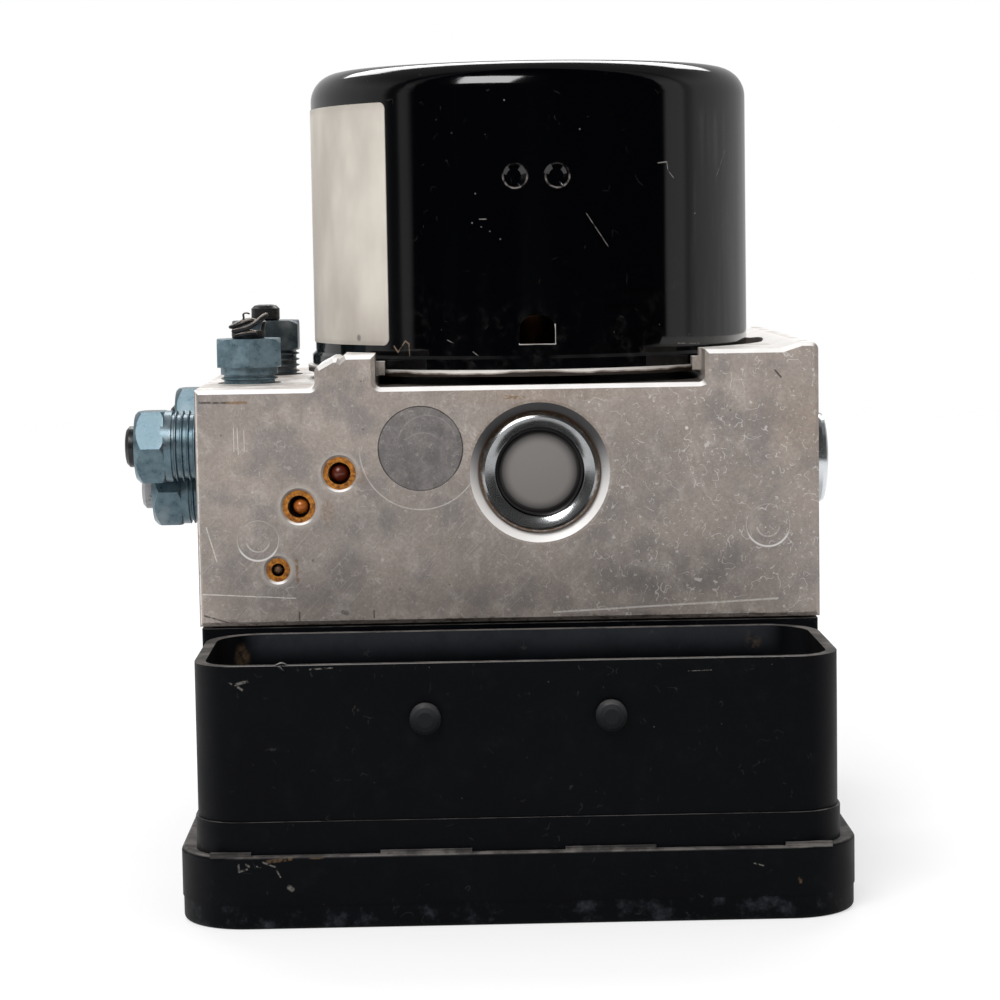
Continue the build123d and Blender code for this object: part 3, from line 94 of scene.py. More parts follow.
class Nodes:
    """Short calls for one node tree."""

    def __init__(self, tree):
        self.tree = tree

    def add(self, kind, **settings):
        node = self.tree.nodes.new(kind)
        for name, value in settings.items():
            setattr(node, name, value)
        return node

    def give(self, socket, value):
        if value is None:
            return
        if isinstance(value, bpy.types.NodeSocket):
            self.tree.links.new(value, socket)
        elif isinstance(value, (tuple, list)) and len(value) == 3 and len(socket.default_value) == 4:
            socket.default_value = (*value, 1)
        else:
            socket.default_value = value

    def math(self, operation, first, second=None, clamp=False):
        node = self.add("ShaderNodeMath", operation=operation, use_clamp=clamp)
        for socket, value in zip(node.inputs, (first, second)):
            self.give(socket, value)
        return node.outputs[0]

    def vector(self, operation, first, second=None, third=None, scale=None, output=0):
        node = self.add("ShaderNodeVectorMath", operation=operation)
        for socket, value in zip(node.inputs, (first, second, third)):
            self.give(socket, value)
        if scale is not None:
            self.give(node.inputs["Scale"], scale)
        return node.outputs[output]

    def split(self, vector):
        node = self.add("ShaderNodeSeparateXYZ")
        self.give(node.inputs[0], vector)
        return node.outputs

    def band(self, value, low, high, to_low=0.0, to_high=1.0):
        """Smooth step from low to high."""
        node = self.add("ShaderNodeMapRange", interpolation_type="SMOOTHSTEP")
        for socket, given in zip(node.inputs, (value, low, high, to_low, to_high)):
            self.give(socket, given)
        return node.outputs[0]

    def blend(self, factor, first, second, mode="MIX"):
        node = self.add("ShaderNodeMix", data_type="RGBA", blend_type=mode)
        self.give(node.inputs[0], factor)
        self.give(node.inputs[6], first)
        self.give(node.inputs[7], second)
        return node.outputs[2]

    def most(self, *masks):
        """The strongest of several masks."""
        found = masks[0]
        for mask in masks[1:]:
            found = self.math("MAXIMUM", found, mask)
        return found


# A line's mask fades from this share of its width outwards
LINE_CORE = 0.3


def mark_group():
    """Node group: mask of a thin line between two points."""
    tree = bpy.data.node_groups.new("line_mark", "ShaderNodeTree")
    for name in ("Point", "From", "To"):
        tree.interface.new_socket(name, in_out="INPUT", socket_type="NodeSocketVector")
    tree.interface.new_socket("Width", in_out="INPUT", socket_type="NodeSocketFloat")
    tree.interface.new_socket("Mask", in_out="OUTPUT", socket_type="NodeSocketFloat")
    kit = Nodes(tree)
    given = kit.add("NodeGroupInput").outputs
    along = kit.vector("SUBTRACT", given["To"], given["From"])
    place = kit.vector("SUBTRACT", given["Point"], given["From"])
    share = kit.math("DIVIDE", kit.vector("DOT_PRODUCT", place, along, output=1),
                     kit.vector("DOT_PRODUCT", along, along, output=1), clamp=True)
    away = kit.vector("SUBTRACT", place, kit.vector("SCALE", along, scale=share))
    distance = kit.vector("LENGTH", away, output=1)
    mask = kit.band(distance, kit.math("MULTIPLY", given["Width"], LINE_CORE), given["Width"], 1.0, 0.0)
    kit.give(kit.add("NodeGroupOutput").inputs[0], mask)
    return tree


LINE_MARK = mark_group()


class Look(Nodes):
    """One procedural material in millimetres of the part's own frame."""

    def __init__(self, name):
        self.material = bpy.data.materials.new(name)
        self.material.use_nodes = True
        super().__init__(self.material.node_tree)
        self.shader = self.tree.nodes["Principled BSDF"]
        place = self.add("ShaderNodeTexCoord").outputs["Object"]
        self.place = self.vector("SCALE", place, scale=1 / MM)
        self.x, self.y, self.z = self.split(self.place)
        self.normal = self.add("ShaderNodeNewGeometry").outputs["Normal"]

    def set(self, **values):
        """Sets the shader's inputs; an underscore in a name stands for a space."""
        for name, value in values.items():
            self.give(self.shader.inputs[name.replace("_", " ")], value)

    def noise(self, size, detail=3.0, rough=0.5, stretch=(1, 1, 1), shift=0.0):
        """Noise with features of about that size in millimetres, 0 to 1."""
        scale = tuple(1 / (size * s) for s in stretch)
        place = self.vector("MULTIPLY_ADD", self.place, scale, (shift, shift * 1.7, shift * 0.6))
        node = self.add("ShaderNodeTexNoise")
        self.give(node.inputs["Vector"], place)
        self.give(node.inputs["Scale"], 1.0)
        self.give(node.inputs["Detail"], detail)
        self.give(node.inputs["Roughness"], rough)
        return node.outputs[0]

    def specks(self, spacing, radius, share=1.0, shift=0.0):
        """Round specks: spacing and largest radius in millimetres, share of cells that have one."""
        place = self.vector("MULTIPLY_ADD", self.place, (1 / spacing,) * 3, (shift, shift, shift))
        node = self.add("ShaderNodeTexVoronoi", feature="F1")
        self.give(node.inputs["Vector"], place)
        self.give(node.inputs["Scale"], 1.0)
        pick = self.split(node.outputs["Color"])
        reach = self.math("MULTIPLY", pick[0], radius / spacing)
        round_mask = self.band(node.outputs["Distance"], self.math("MULTIPLY", reach, 0.6), reach, 1.0, 0.0)
        kept = self.math("LESS_THAN", pick[1], share)
        return self.math("MULTIPLY", round_mask, kept)

    def line(self, start, end, width):
        node = self.add("ShaderNodeGroup", node_tree=LINE_MARK)
        for name, value in (("Point", self.place), ("From", start), ("To", end), ("Width", width)):
            self.give(node.inputs[name], value)
        return node.outputs[0]

    def lines(self, rows):
        """Strongest of several lines, given as (start, end, width)."""
        return self.most(*[self.line(*row) for row in rows])

    def distance(self, center):
        """Distance from a point in millimetres."""
        return self.vector("LENGTH", self.vector("SUBTRACT", self.place, center), output=1)

    def ring(self, center, radius, width):
        """Thin circle round a point of a surface."""
        off = self.math("ABSOLUTE", self.math("SUBTRACT", self.distance(center), radius))
        return self.band(off, width * LINE_CORE, width, 1.0, 0.0)

    def low_ring(self, center, radius, width, low, high):
        """Lower part of a circle: it fades out between two heights from its centre."""
        whole = self.ring(center, radius, width)
        return self.times(whole, self.band(self.z, center[2] + low, center[2] + high, 1.0, 0.0))

    def spot(self, center, reach, soft=0.5):
        """Soft blot: half widths along X, Y and Z in millimetres."""
        offset = self.vector("SUBTRACT", self.place, center)
        place = self.vector("MULTIPLY", offset, tuple(1 / r for r in reach))
        return self.band(self.vector("LENGTH", place, output=1), 1 - soft, 1.0, 1.0, 0.0)

    def hairs(self, size, share, width=0.012, shift=0.0):
        """Short curved scratches: where one noise crosses its middle and another is high."""
        path = self.math("ABSOLUTE", self.math("SUBTRACT", self.noise(size, 2, 0.5, shift=shift), 0.5))
        thin = self.band(path, width * LINE_CORE, width, 1.0, 0.0)
        place = self.noise(size * 0.45, 1, 0.5, shift=shift + 11.0)
        return self.math("MULTIPLY", thin, self.band(place, share, share + 0.06))

    def brushed(self, turn, across, along, shift=0.0):
        """Straight fine scratches on an upright face, turned from level by that many degrees, 0 to 1."""
        c, s = math.cos(math.radians(turn)), math.sin(math.radians(turn))
        node = self.add("ShaderNodeCombineXYZ")
        for socket, axis in zip(node.inputs, ((c / along, 0, s / along), (-s / across, 0, c / across))):
            self.give(socket, self.vector("DOT_PRODUCT", self.place, axis, output=1))
        noise = self.add("ShaderNodeTexNoise")
        self.give(noise.inputs["Vector"], self.vector("ADD", node.outputs[0], (shift, shift, shift)))
        self.give(noise.inputs["Scale"], 1.0)
        self.give(noise.inputs["Detail"], 3.0)
        return noise.outputs[0]

    def times(self, *masks):
        """The product of several masks."""
        found = masks[0]
        for mask in masks[1:]:
            found = self.math("MULTIPLY", found, mask)
        return found

    def bump(self, height, depth, last=None):
        """Bump from a 0 to 1 height, depth in millimetres."""
        node = self.add("ShaderNodeBump")
        self.give(node.inputs["Strength"], 1.0)
        self.give(node.inputs["Distance"], depth * MM)
        self.give(node.inputs["Height"], height)
        self.give(node.inputs["Normal"], last)
        return node.outputs[0]


PLAIN_SPREAD = 0.12


def plain(name, color, metallic, roughness):
    """Material with a soft mottle in colour and roughness, for small and inner pieces."""
    look = Look(name)
    mottle = look.noise(1.5, 4)
    lighter = tuple(min(1.0, c * (1 + PLAIN_SPREAD)) for c in color)
    darker = tuple(c * (1 - PLAIN_SPREAD) for c in color)
    look.set(Base_Color=look.blend(mottle, darker, lighter), Metallic=metallic)
    look.set(Roughness=look.band(mottle, 0.2, 0.8, max(0.05, roughness - 0.06), roughness + 0.06))
    look.set(Normal=look.bump(look.noise(0.25, 2), 0.01))
    return look.material


# Marks on the front face of the block: X and Z of both ends and the width, in millimetres
FRONT_Y = -40.5
PALE_SCRATCHES = (
    (-50.5, 72.9, -50.5, 68.9, 0.10), (-49.9, 72.8, -49.8, 68.4, 0.10), (-48.8, 72.5, -48.8, 69.2, 0.10),
    (-56.4, 45.3, -40.9, 44.4, 0.15), (2.0, 41.3, 39.3, 42.9, 0.24), (-55.4, 56.4, -53.8, 50.7, 0.16),
)
DARK_SCRATCHES = (
    (-56.0, 77.1, -51.3, 77.0, 0.26), (-56.1, 41.7, -52.2, 40.5, 0.20), (-40.3, 42.0, -40.3, 39.9, 0.20),
    (-27.9, 42.0, -27.9, 40.8, 0.18), (-33.0, 41.9, -32.4, 41.7, 0.50), (39.1, 80.9, 40.1, 79.7, 0.22),
)
BROWN_MARKS = (
    (-51.3, 77.0, -48.3, 77.0, 0.35), (-5.6, 77.2, -2.6, 77.0, 0.40), (-40.6, 50.7, -40.4, 46.9, 0.35),
)
# Stamped rings: centre, outer and inner radius
STAMPS = (((-46.9, FRONT_Y, 54.1), 3.35, 1.9), ((37.8, FRONT_Y, 55.2), 3.55, 1.9))
# Disc plug, with the circle scribed round it
DISC_CENTER = (-19.7, FRONT_Y, 68.9)
SCRIBED_RADIUS = 10.1
# Pump cover, with the rim of its countersink
PUMP_Z = 64.6
PUMP_CENTER = (0.0, FRONT_Y, PUMP_Z)
PUMP_COVER_RADIUS = 10.0
COUNTERSINK_RADIUS = 12.0
# Channel plugs: centre, and reach of the pale halo round each
CHANNELS = (((-33.2, FRONT_Y, 65.0), 3.9), ((-40.0, FRONT_Y, 59.6), 4.1), ((-43.7, FRONT_Y, 49.1), 3.2))


def flat_lines(look, rows, y):
    """Lines on an upright face at that Y, given as X and Z of both ends and the width."""
    return look.lines([((x0, y, z0), (x1, y, z1), width) for x0, z0, x1, z1, width in rows])


def block_clouds(look, broad, cloudy, blotch):
    """Ground tone of the block with paler and greyer clouds, rubbed stretches and broad stains."""
    color = look.blend(look.band(broad, 0.32, 0.68), (0.270, 0.232, 0.208), (0.350, 0.298, 0.262))
    color = look.blend(look.times(look.band(cloudy, 0.48, 0.66), 0.48), color, (0.47, 0.42, 0.38))
    color = look.blend(look.times(look.band(blotch, 0.49, 0.66), 0.62), color, (0.180, 0.166, 0.165))
    low = look.band(look.z, 64, 54)
    rub = look.times(look.band(look.brushed(47, 0.16, 9), 0.58, 0.70), look.band(look.x, 16, 0), low, 0.42)
    color = look.blend(rub, color, (0.52, 0.48, 0.45))
    streaks = look.band(look.brushed(82, 0.2, 7, 4), 0.62, 0.72)
    color = look.blend(look.times(streaks, 0.25), color, (0.13, 0.115, 0.11))
    dark = look.most(
        look.spot((22, FRONT_Y, 47.5), (20, 4, 6.5), 0.75),
        look.spot((-28, FRONT_Y, 57), (10, 4, 5), 0.9),
    )
    patchy = look.times(dark, look.band(cloudy, 0.30, 0.62, 1.0, 0.35), 0.85)
    color = look.blend(patchy, color, (0.125, 0.124, 0.128))
    warm = look.most(
        look.spot((44, FRONT_Y, 72), (10, 4, 9), 0.9),
        look.spot((0, FRONT_Y, 78), (20, 4, 3), 0.8),
    )
    return look.blend(look.times(warm, 0.35), color, (0.36, 0.27, 0.20))


def block_specks(look, color, fine, grit):
    """Grain and dark pits, with pale specks and short scratches that thicken to the right."""
    color = look.blend(look.times(look.band(fine, 0.35, 0.68), 0.38), color, (0.175, 0.150, 0.138))
    color = look.blend(look.times(look.band(grit, 0.55, 0.75), 0.30), color, (0.52, 0.48, 0.44))
    pits = look.most(look.specks(2.9, 0.26, 0.22, 31.0), look.specks(5.3, 0.34, 0.30, 43.0))
    color = look.blend(look.times(pits, 0.62), color, (0.10, 0.085, 0.078))
    right = look.band(look.x, -12, 28, 0.40, 1.0)
    specks = look.most(
        look.specks(1.3, 0.24, 0.26), look.specks(2.3, 0.30, 0.22, 5.0), look.specks(5.1, 0.45, 0.2, 8.0)
    )
    scuffs = look.most(look.hairs(3.2, 0.50), look.hairs(1.7, 0.55, 0.016, 5.0))
    small = look.specks(0.8, 0.15, 0.30, 60.0)
    color = look.blend(look.times(look.most(specks, small), right, 0.90), color, (0.64, 0.60, 0.57))
    color = look.blend(look.times(scuffs, right, 0.60), color, (0.64, 0.60, 0.57))
    return color, pits


def block_pale_marks(look, color, fine):
    """Halos, scribed circle, stamped rings and pale scratches of the front face, with a painted highlight
    on the lower part of each stamped ring and a painted shade ring set a little above it.
    """
    halo = look.most(*[look.spot(center, (reach, 1, reach), 0.22) for center, reach in CHANNELS])
    color = look.blend(look.times(halo, 0.50), color, (0.46, 0.42, 0.385))
    low_half = look.band(look.z, DISC_CENTER[2] - 2.5, DISC_CENTER[2] + 1.0, 1.0, 0.0)
    scribed = look.times(look.ring(DISC_CENTER, SCRIBED_RADIUS, 0.16), low_half, 0.75)
    outer_rings = look.most(*[look.ring(center, outer, 0.17) for center, outer, inner in STAMPS])
    inner_rings = [look.low_ring(center, inner, 0.20, -0.9, 0.0) for center, outer, inner in STAMPS]
    stamped = look.most(outer_rings, *inner_rings)
    pale = look.most(flat_lines(look, PALE_SCRATCHES, FRONT_Y), scribed, look.times(stamped, 0.72))
    uneven = look.band(fine, 0.30, 0.55, 0.25, 1.0)
    color = look.blend(look.times(pale, uneven, 0.62), color, (0.70, 0.66, 0.62))
    # Painted highlight: the lower part of each stamped ring is painted near white.
    bright = look.most(*[
        look.low_ring(center, outer - 0.02, 0.30, -2.2, -0.8) for center, outer, inner in STAMPS
    ])
    color = look.blend(look.times(bright, 0.55), color, (0.86, 0.83, 0.80))
    # Painted shade: a dark ring set a little above each stamped ring.
    shade = look.most(*[
        look.ring((center[0], center[1], center[2] + 0.14), outer - 0.08, 0.14)
        for center, outer, inner in STAMPS
    ])
    color = look.blend(look.times(shade, 0.45), color, (0.09, 0.08, 0.075))
    return color, pale, uneven


def block_dark_marks(look, color, fine, uneven):
    """Dark scratches, dirt along the lower edge and brown stains of the front face."""
    broken = look.band(fine, 0.35, 0.55)
    scratches = look.times(flat_lines(look, DARK_SCRATCHES, FRONT_Y), uneven, 0.85)
    color = look.blend(scratches, color, (0.035, 0.028, 0.026))
    dirt = look.times(
        look.band(look.z, 41.4, 40.2),
        look.band(look.noise(1.3, 5, 0.7, (2, 1, 1), 31.0), 0.50, 0.62),
    )
    color = look.blend(look.times(dirt, 0.75), color, (0.075, 0.055, 0.045))
    stains = look.most(
        look.times(flat_lines(look, BROWN_MARKS, FRONT_Y), broken),
        look.times(look.spot((-30.5, FRONT_Y, 64.2), (3.6, 1, 2.2), 0.9), broken, 0.45),
        look.times(look.spot((-35.3, FRONT_Y, 58.6), (1.5, 1, 2.6), 0.5), broken, 0.40),
        look.times(look.ring(PUMP_CENTER, COUNTERSINK_RADIUS - 0.15, 0.35), broken, 0.35),
    )
    return look.blend(look.times(stains, 0.85), color, (0.20, 0.115, 0.05))


def block_edge_highlights(look, color, up, blotch, fine):
    """Painted highlights on faces and cut edges that look up, mottled darker on the flat tops, and along
    the left front edge, which has a little rust.
    """
    # Painted highlight: faces that look up are painted near white.
    color = look.blend(look.band(up, 0.45, 0.72), color, (0.95, 0.93, 0.91))
    flat = look.times(look.band(up, 0.94, 0.98), look.band(blotch, 0.35, 0.62))
    color = look.blend(flat, color, (0.62, 0.57, 0.53))
    # Painted highlight along the left front edge, mottled by fine noise.
    left = look.times(look.band(look.x, -56.45, -56.65), look.band(look.y, FRONT_Y + 0.6, FRONT_Y + 0.3))
    color = look.blend(look.times(left, look.band(fine, 0.25, 0.5, 0.4, 1.0)), color, (0.90, 0.87, 0.84))
    rust = look.times(left, look.band(look.noise(2.0, 4, 0.7, shift=41.0), 0.55, 0.62))
    return look.blend(look.times(rust, 0.8), color, (0.16, 0.08, 0.035))


def countersink(look, color):
    """Cone round the pump cover: painted shade above, painted highlight below, brown at its root."""
    away = look.distance(PUMP_CENTER)
    cone = look.times(
        look.band(away, PUMP_COVER_RADIUS - 0.1, PUMP_COVER_RADIUS + 0.05),
        look.band(away, COUNTERSINK_RADIUS + 0.15, COUNTERSINK_RADIUS),
        look.band(look.y, FRONT_Y - 0.02, FRONT_Y + 0.08),
    )
    # Painted light and shade: the cone is near white at the bottom and dark at the top.
    height = look.band(look.z, PUMP_Z - 5.1, PUMP_Z + 6.4)
    sunk = look.blend(height, (0.97, 0.95, 0.93), (0.105, 0.105, 0.11))
    sunk = look.blend(look.times(look.specks(1.6, 0.2, 0.35, 77.0), 0.7), sunk, (0.25, 0.16, 0.08))
    color = look.blend(cone, color, sunk)
    root = look.times(cone, look.band(away, PUMP_COVER_RADIUS + 0.5, PUMP_COVER_RADIUS + 0.2), 0.8)
    return look.blend(root, color, (0.11, 0.055, 0.02))


def block_ledges(look, color, up):
    """Worn machining marks on the shoulder, and painted shadow under the motor's end plate."""
    swirl = look.noise(1.1, 4, 0.7, (3.0, 0.5, 1.0), 13.0)
    shoulder = look.times(look.band(up, 0.9, 0.98), look.band(look.x, -39.0, -37.5, 1.0, 0.0))
    worn = look.times(shoulder, look.band(swirl, 0.47, 0.60), 0.75)
    color = look.blend(worn, color, (0.24, 0.19, 0.15))
    # Painted shadow on the channel floor under the motor's end plate.
    under = look.times(
        look.band(look.y, FRONT_Y + 0.9, FRONT_Y + 1.9),
        look.band(look.z, 79.8, 79.3),
        look.band(look.z, 78.7, 79.0),
    )
    channel = look.times(under, look.band(look.x, -27.6, -27.0), look.band(look.x, 27.6, 28.2, 1.0, 0.0))
    return look.blend(look.times(channel, 0.92), color, (0.035, 0.022, 0.014))


def block_metal():
    """Extruded aluminium with scratches, specks and stains, and painted light and shade on its cut edges,
    stamped rings, countersink and under the motor's end plate.
    """
    look = Look("block_metal")
    broad = look.noise(19, 4, 0.6)
    cloudy = look.noise(4.5, 5, 0.68, (1.0, 1.0, 1.3), 3.0)
    blotch = look.noise(9, 4, 0.6, shift=21.0)
    fine = look.noise(0.55, 3, 0.7, shift=7.0)
    grit = look.noise(0.2, 2, 0.6, shift=17.0)
    color = block_clouds(look, broad, cloudy, blotch)
    color, pits = block_specks(look, color, fine, grit)
    color, pale, uneven = block_pale_marks(look, color, fine)
    color = block_dark_marks(look, color, fine, uneven)
    up = look.split(look.normal)[2]
    color = block_edge_highlights(look, color, up, blotch, fine)
    color = countersink(look, color)
    color = block_ledges(look, color, up)
    look.set(Base_Color=color, Metallic=0.30)
    look.set(Roughness=look.band(cloudy, 0.3, 0.7, 0.36, 0.52))
    grain = look.noise(0.12, 2, stretch=(30, 30, 1), shift=2.0)
    relief = look.math("SUBTRACT", fine, look.times(look.most(pale, pits), 0.8))
    look.set(Normal=look.bump(relief, 0.03, look.bump(grain, 0.006)))
    return look.material


# Marks on the can: points on its wall and the width, in millimetres
CAN_SCRATCHES = (
    ((8.4, -37.6, 107.2), (12.0, -36.6, 101.7), 0.11),
    ((-15.0, -35.5, 86.6), (-7.1, -37.8, 82.6), 0.12),
    ((20.7, -32.4, 115.4), (22.3, -31.4, 115.6), 0.20),
    ((22.3, -31.4, 115.6), (22.5, -31.3, 114.2), 0.18),
    ((22.5, -31.3, 114.2), (23.5, -30.5, 112.9), 0.14),
    ((33.2, -19.4, 117.8), (31.5, -22.2, 113.3), 0.10),
    ((-9.3, -37.3, 106.5), (-8.2, -37.6, 106.5), 0.18),
    ((-10.7, -37.0, 84.6), (-9.6, -37.3, 83.7), 0.14),
    ((-9.6, -37.3, 83.7), (-7.2, -37.8, 83.4), 0.18),
    ((24.0, -30.1, 85.2), (27.8, -26.6, 85.0), 0.20),
)
CAN_HOOK = (
    ((-23.9, -30.1, 85.5), (-23.3, -30.7, 84.5), 0.20),
    ((-23.3, -30.7, 84.5), (-22.0, -31.6, 86.4), 0.16),
    ((-22.0, -31.6, 86.4), (-21.4, -32.0, 85.9), 0.20),
    ((-21.4, -32.0, 85.9), (-21.3, -32.1, 83.6), 0.14),
)
CAN_CHIPS = (
    (7.5, -37.8, 121.0), (-4.9, -38.2, 125.9), (-10.5, -37.0, 105.9), (-9.0, -37.4, 105.2),
    (-7.6, -37.8, 104.5), (-5.9, -38.0, 103.2), (-9.9, -37.2, 110.7), (-13.6, -36.0, 120.8),
)
DIMPLES = ((-3.3, -38.2, 113.5), (3.7, -38.2, 113.5))
DIMPLE_RADIUS = 2.0
WINDOW_EDGE = (
    ((-2.95, -38.4, 85.8), (2.95, -38.4, 85.8), 0.22),
    ((2.95, -38.4, 85.8), (2.95, -38.4, 89.0), 0.14),
)


def can_paint():
    """Deep gloss black paint with dust, chips and fine scratches, and painted highlights on the dimples'
    rims.
    """
    look = Look("can_paint")
    dust = look.most(look.specks(1.3, 0.10, 0.16), look.specks(4.0, 0.20, 0.24, 3.0))
    low = look.band(look.z, 100, 84, 0.0, 1.0)
    film = look.times(look.band(look.noise(2.5, 5, 0.7, shift=4.0), 0.50, 0.75), low, 0.016)
    runs = look.noise(2.2, 4, 0.6, (1, 1, 14), 6.0)
    haze = look.times(
        look.band(runs, 0.42, 0.66), look.band(look.x, 25.5, 27.5), look.band(look.z, 126, 122), 0.030
    )
    color = look.blend(look.times(dust, 0.22), (0.0003, 0.0004, 0.0008), (0.55, 0.53, 0.50))
    color = look.blend(look.most(film, haze), color, (0.50, 0.48, 0.46))
    chips = [look.spot(place, (0.20, 0.20, 0.20), 0.7) for place in CAN_CHIPS]
    uneven = look.band(look.noise(0.9, 4, 0.7, shift=9.0), 0.38, 0.58, 0.10, 1.0)
    scratches = look.lines([(start, end, width * 0.75) for start, end, width in CAN_SCRATCHES])
    window = look.times(look.lines(WINDOW_EDGE), 0.62)
    hairs = look.times(look.hairs(5.0, 0.62, 0.006, 3.0), 0.022)
    marks = look.most(look.times(look.most(scratches, *chips), uneven, 0.30), window)
    color = look.blend(look.most(marks, hairs), color, (0.62, 0.58, 0.54))
    color = look.blend(look.times(look.lines(CAN_HOOK), uneven, 0.50), color, (0.36, 0.26, 0.18))
    # Painted highlight: pale rims round the dimples, strongest on their lower halves.
    rims = []
    for center in DIMPLES:
        rim = look.ring(center, DIMPLE_RADIUS, 0.22)
        rims.append(look.times(rim, look.band(look.z, center[2] - 0.6, center[2] + 0.6, 1.0, 0.15)))
    color = look.blend(look.times(look.most(*rims), uneven, 0.30), color, (0.50, 0.45, 0.42))
    wave = look.noise(6, 2, stretch=(1, 1, 12))
    rough = look.band(wave, 0.35, 0.7, 0.06, 0.11)
    look.set(Base_Color=color, Metallic=0.0)
    look.set(Roughness=look.math("ADD", rough, look.times(look.most(dust, marks), 0.4)))
    look.set(Normal=look.bump(wave, 0.03))
    return look.material


def label_paper():
    """Bare aged label: even pale paper with soft blotches and darker lifted edges."""
    look = Look("label_paper")
    mottle = look.noise(11, 3, 0.5, (1, 1, 1.8))
    fine = look.noise(0.3, 3)
    color = look.blend(look.band(mottle, 0.3, 0.7), (0.400, 0.362, 0.318), (0.560, 0.520, 0.460))
    color = look.blend(look.times(fine, 0.10), color, (0.2, 0.19, 0.17))
    ends = look.most(look.band(look.z, 124.8, 125.9), look.band(look.z, 86.6, 85.9))
    color = look.blend(look.times(ends, 0.30), color, (0.30, 0.27, 0.24))
    nick = look.spot((-30.0, -24.2, 86.8), (0.5, 2, 0.8), 0.6)
    color = look.blend(look.times(nick, 0.7), color, (0.08, 0.075, 0.07))
    look.set(Base_Color=color, Roughness=0.55)
    look.set(Normal=look.bump(fine, 0.01))
    return look.material


# Control unit in millimetres: front faces of the socket and the base, and heights of its rim and ledges
SOCKET_Y = -85.6
BASE_Y = -87.3
SOCKET_TOP = 39.9
SOCKET_STEP_Z = 16.2
BASE_TOP = 11.2
COVER_TOP = 3.7
# Scuffs on the control unit: X and Z of both ends and the width
SOCKET_SCUFFS = (
    (-51.9, 39.2, -51.3, 39.8, 0.12), (-51.9, 39.2, -51.6, 38.2, 0.10), (-51.6, 38.2, -50.8, 37.4, 0.10),
    (-47.6, 37.2, -45.8, 37.7, 0.30), (-48.9, 37.6, -48.2, 37.3, 0.22), (-47.2, 36.8, -46.6, 36.4, 0.25),
    (-36.4, 39.3, -33.0, 39.5, 0.16), (20.5, 38.0, 24.0, 38.1, 0.08),
)
BASE_SCUFFS = (
    (-47.7, 10.1, -47.6, 9.0, 0.22), (-47.6, 9.0, -46.4, 9.4, 0.20), (-46.5, 10.1, -46.1, 9.8, 0.24),
    (-44.0, 10.4, -42.2, 9.7, 0.20), (-42.0, 9.2, -41.4, 8.1, 0.16), (-40.1, 6.5, -39.7, 6.2, 0.50),
    (-44.9, 9.8, -44.4, 9.7, 0.18), (30.0, 8.8, 31.4, 8.4, 0.14),
)
BASE_BROWN = (
    (-43.2, 10.5, -39.8, 10.9, 0.42), (-36.9, 10.9, -35.0, 10.9, 0.22), (36.9, 6.3, 37.0, 5.8, 0.40),
)


def broken_mask(look):
    """Breaks a scuff up so that it isn't an even line."""
    return look.band(look.noise(0.5, 3, 0.6, shift=14.0), 0.36, 0.55)


def housing_light_and_dust(look, color, grain, patches):
    """Painted light and dust on the socket's inside, painted light on the receding sides, dust on the
    ledges, a painted highlight on the rim and painted top light on the pins.
    """
    # Painted light and dust inside the socket near its top.
    inside = look.times(
        look.band(look.y, -52.5, -50.5),
        look.band(look.y, -48.0, -49.4),
        look.band(look.z, SOCKET_TOP - 5.4, SOCKET_TOP - 0.3),
    )
    inside = look.times(inside, look.band(patches, 0.2, 0.6, 0.7, 1.0))
    color = look.blend(inside, color, (0.034, 0.038, 0.044))
    # Painted light: the receding sides are painted lighter.
    side = look.math("ABSOLUTE", look.split(look.normal)[0])
    color = look.blend(look.times(look.band(side, 0.35, 1.0), 0.40), color, (0.012, 0.012, 0.013))
    up = look.split(look.normal)[2]
    ledge = look.times(look.band(up, 0.35, 0.9), look.band(grain, 0.2, 0.6, 0.6, 1.0))
    ledge = look.times(ledge, look.band(patches, 0.35, 0.6, 0.35, 1.0))
    color = look.blend(ledge, color, (0.034, 0.031, 0.030))
    # Painted highlight along the top edge of the socket's rim, broken up by grain.
    rim = look.times(
        look.band(look.z, SOCKET_TOP - 0.6, SOCKET_TOP - 0.2),
        look.band(up, 0.3, 0.7),
        look.band(look.y, SOCKET_Y + 0.7, SOCKET_Y + 0.35),
    )
    color = look.blend(look.times(rim, look.band(grain, 0.2, 0.6, 0.4, 1.0)), color, (0.24, 0.235, 0.23))
    # Pins: paler, most on their upper faces, which is painted top light.
    pins = look.times(look.band(look.y, SOCKET_Y - 0.15, SOCKET_Y - 0.35), look.band(look.z, 18, 19))
    color = look.blend(look.times(pins, look.band(up, -0.2, 0.6, 0.15, 0.9)), color, (0.030, 0.031, 0.034))
    return color, up


def housing_edge_highlights(look, color, up):
    """Painted highlights along the edges of the socket's step, the base and the bottom cover, broken up by
    noise.
    """
    step = look.times(
        look.band(look.z, SOCKET_STEP_Z - 0.2, SOCKET_STEP_Z - 0.05),
        look.band(look.z, SOCKET_STEP_Z + 0.2, SOCKET_STEP_Z + 0.05),
        look.band(up, 0.5, 0.9),
    )
    foot = look.times(
        look.band(look.z, BASE_TOP - 0.3, BASE_TOP - 0.1),
        look.band(look.z, BASE_TOP + 0.8, BASE_TOP + 0.1),
        look.band(look.y, SOCKET_Y - 0.4, SOCKET_Y - 0.9),
    )
    cover = look.times(look.band(look.z, COVER_TOP - 0.25, COVER_TOP - 0.05), look.band(up, 0.5, 0.9))
    # Noise that breaks up the painted edge highlights.
    worn = look.band(look.noise(4.0, 3, 0.6, shift=51.0), 0.40, 0.62, 0.30, 1.0)
    return look.blend(look.times(look.most(step, foot, cover), worn, 0.75), color, (0.15, 0.138, 0.13))


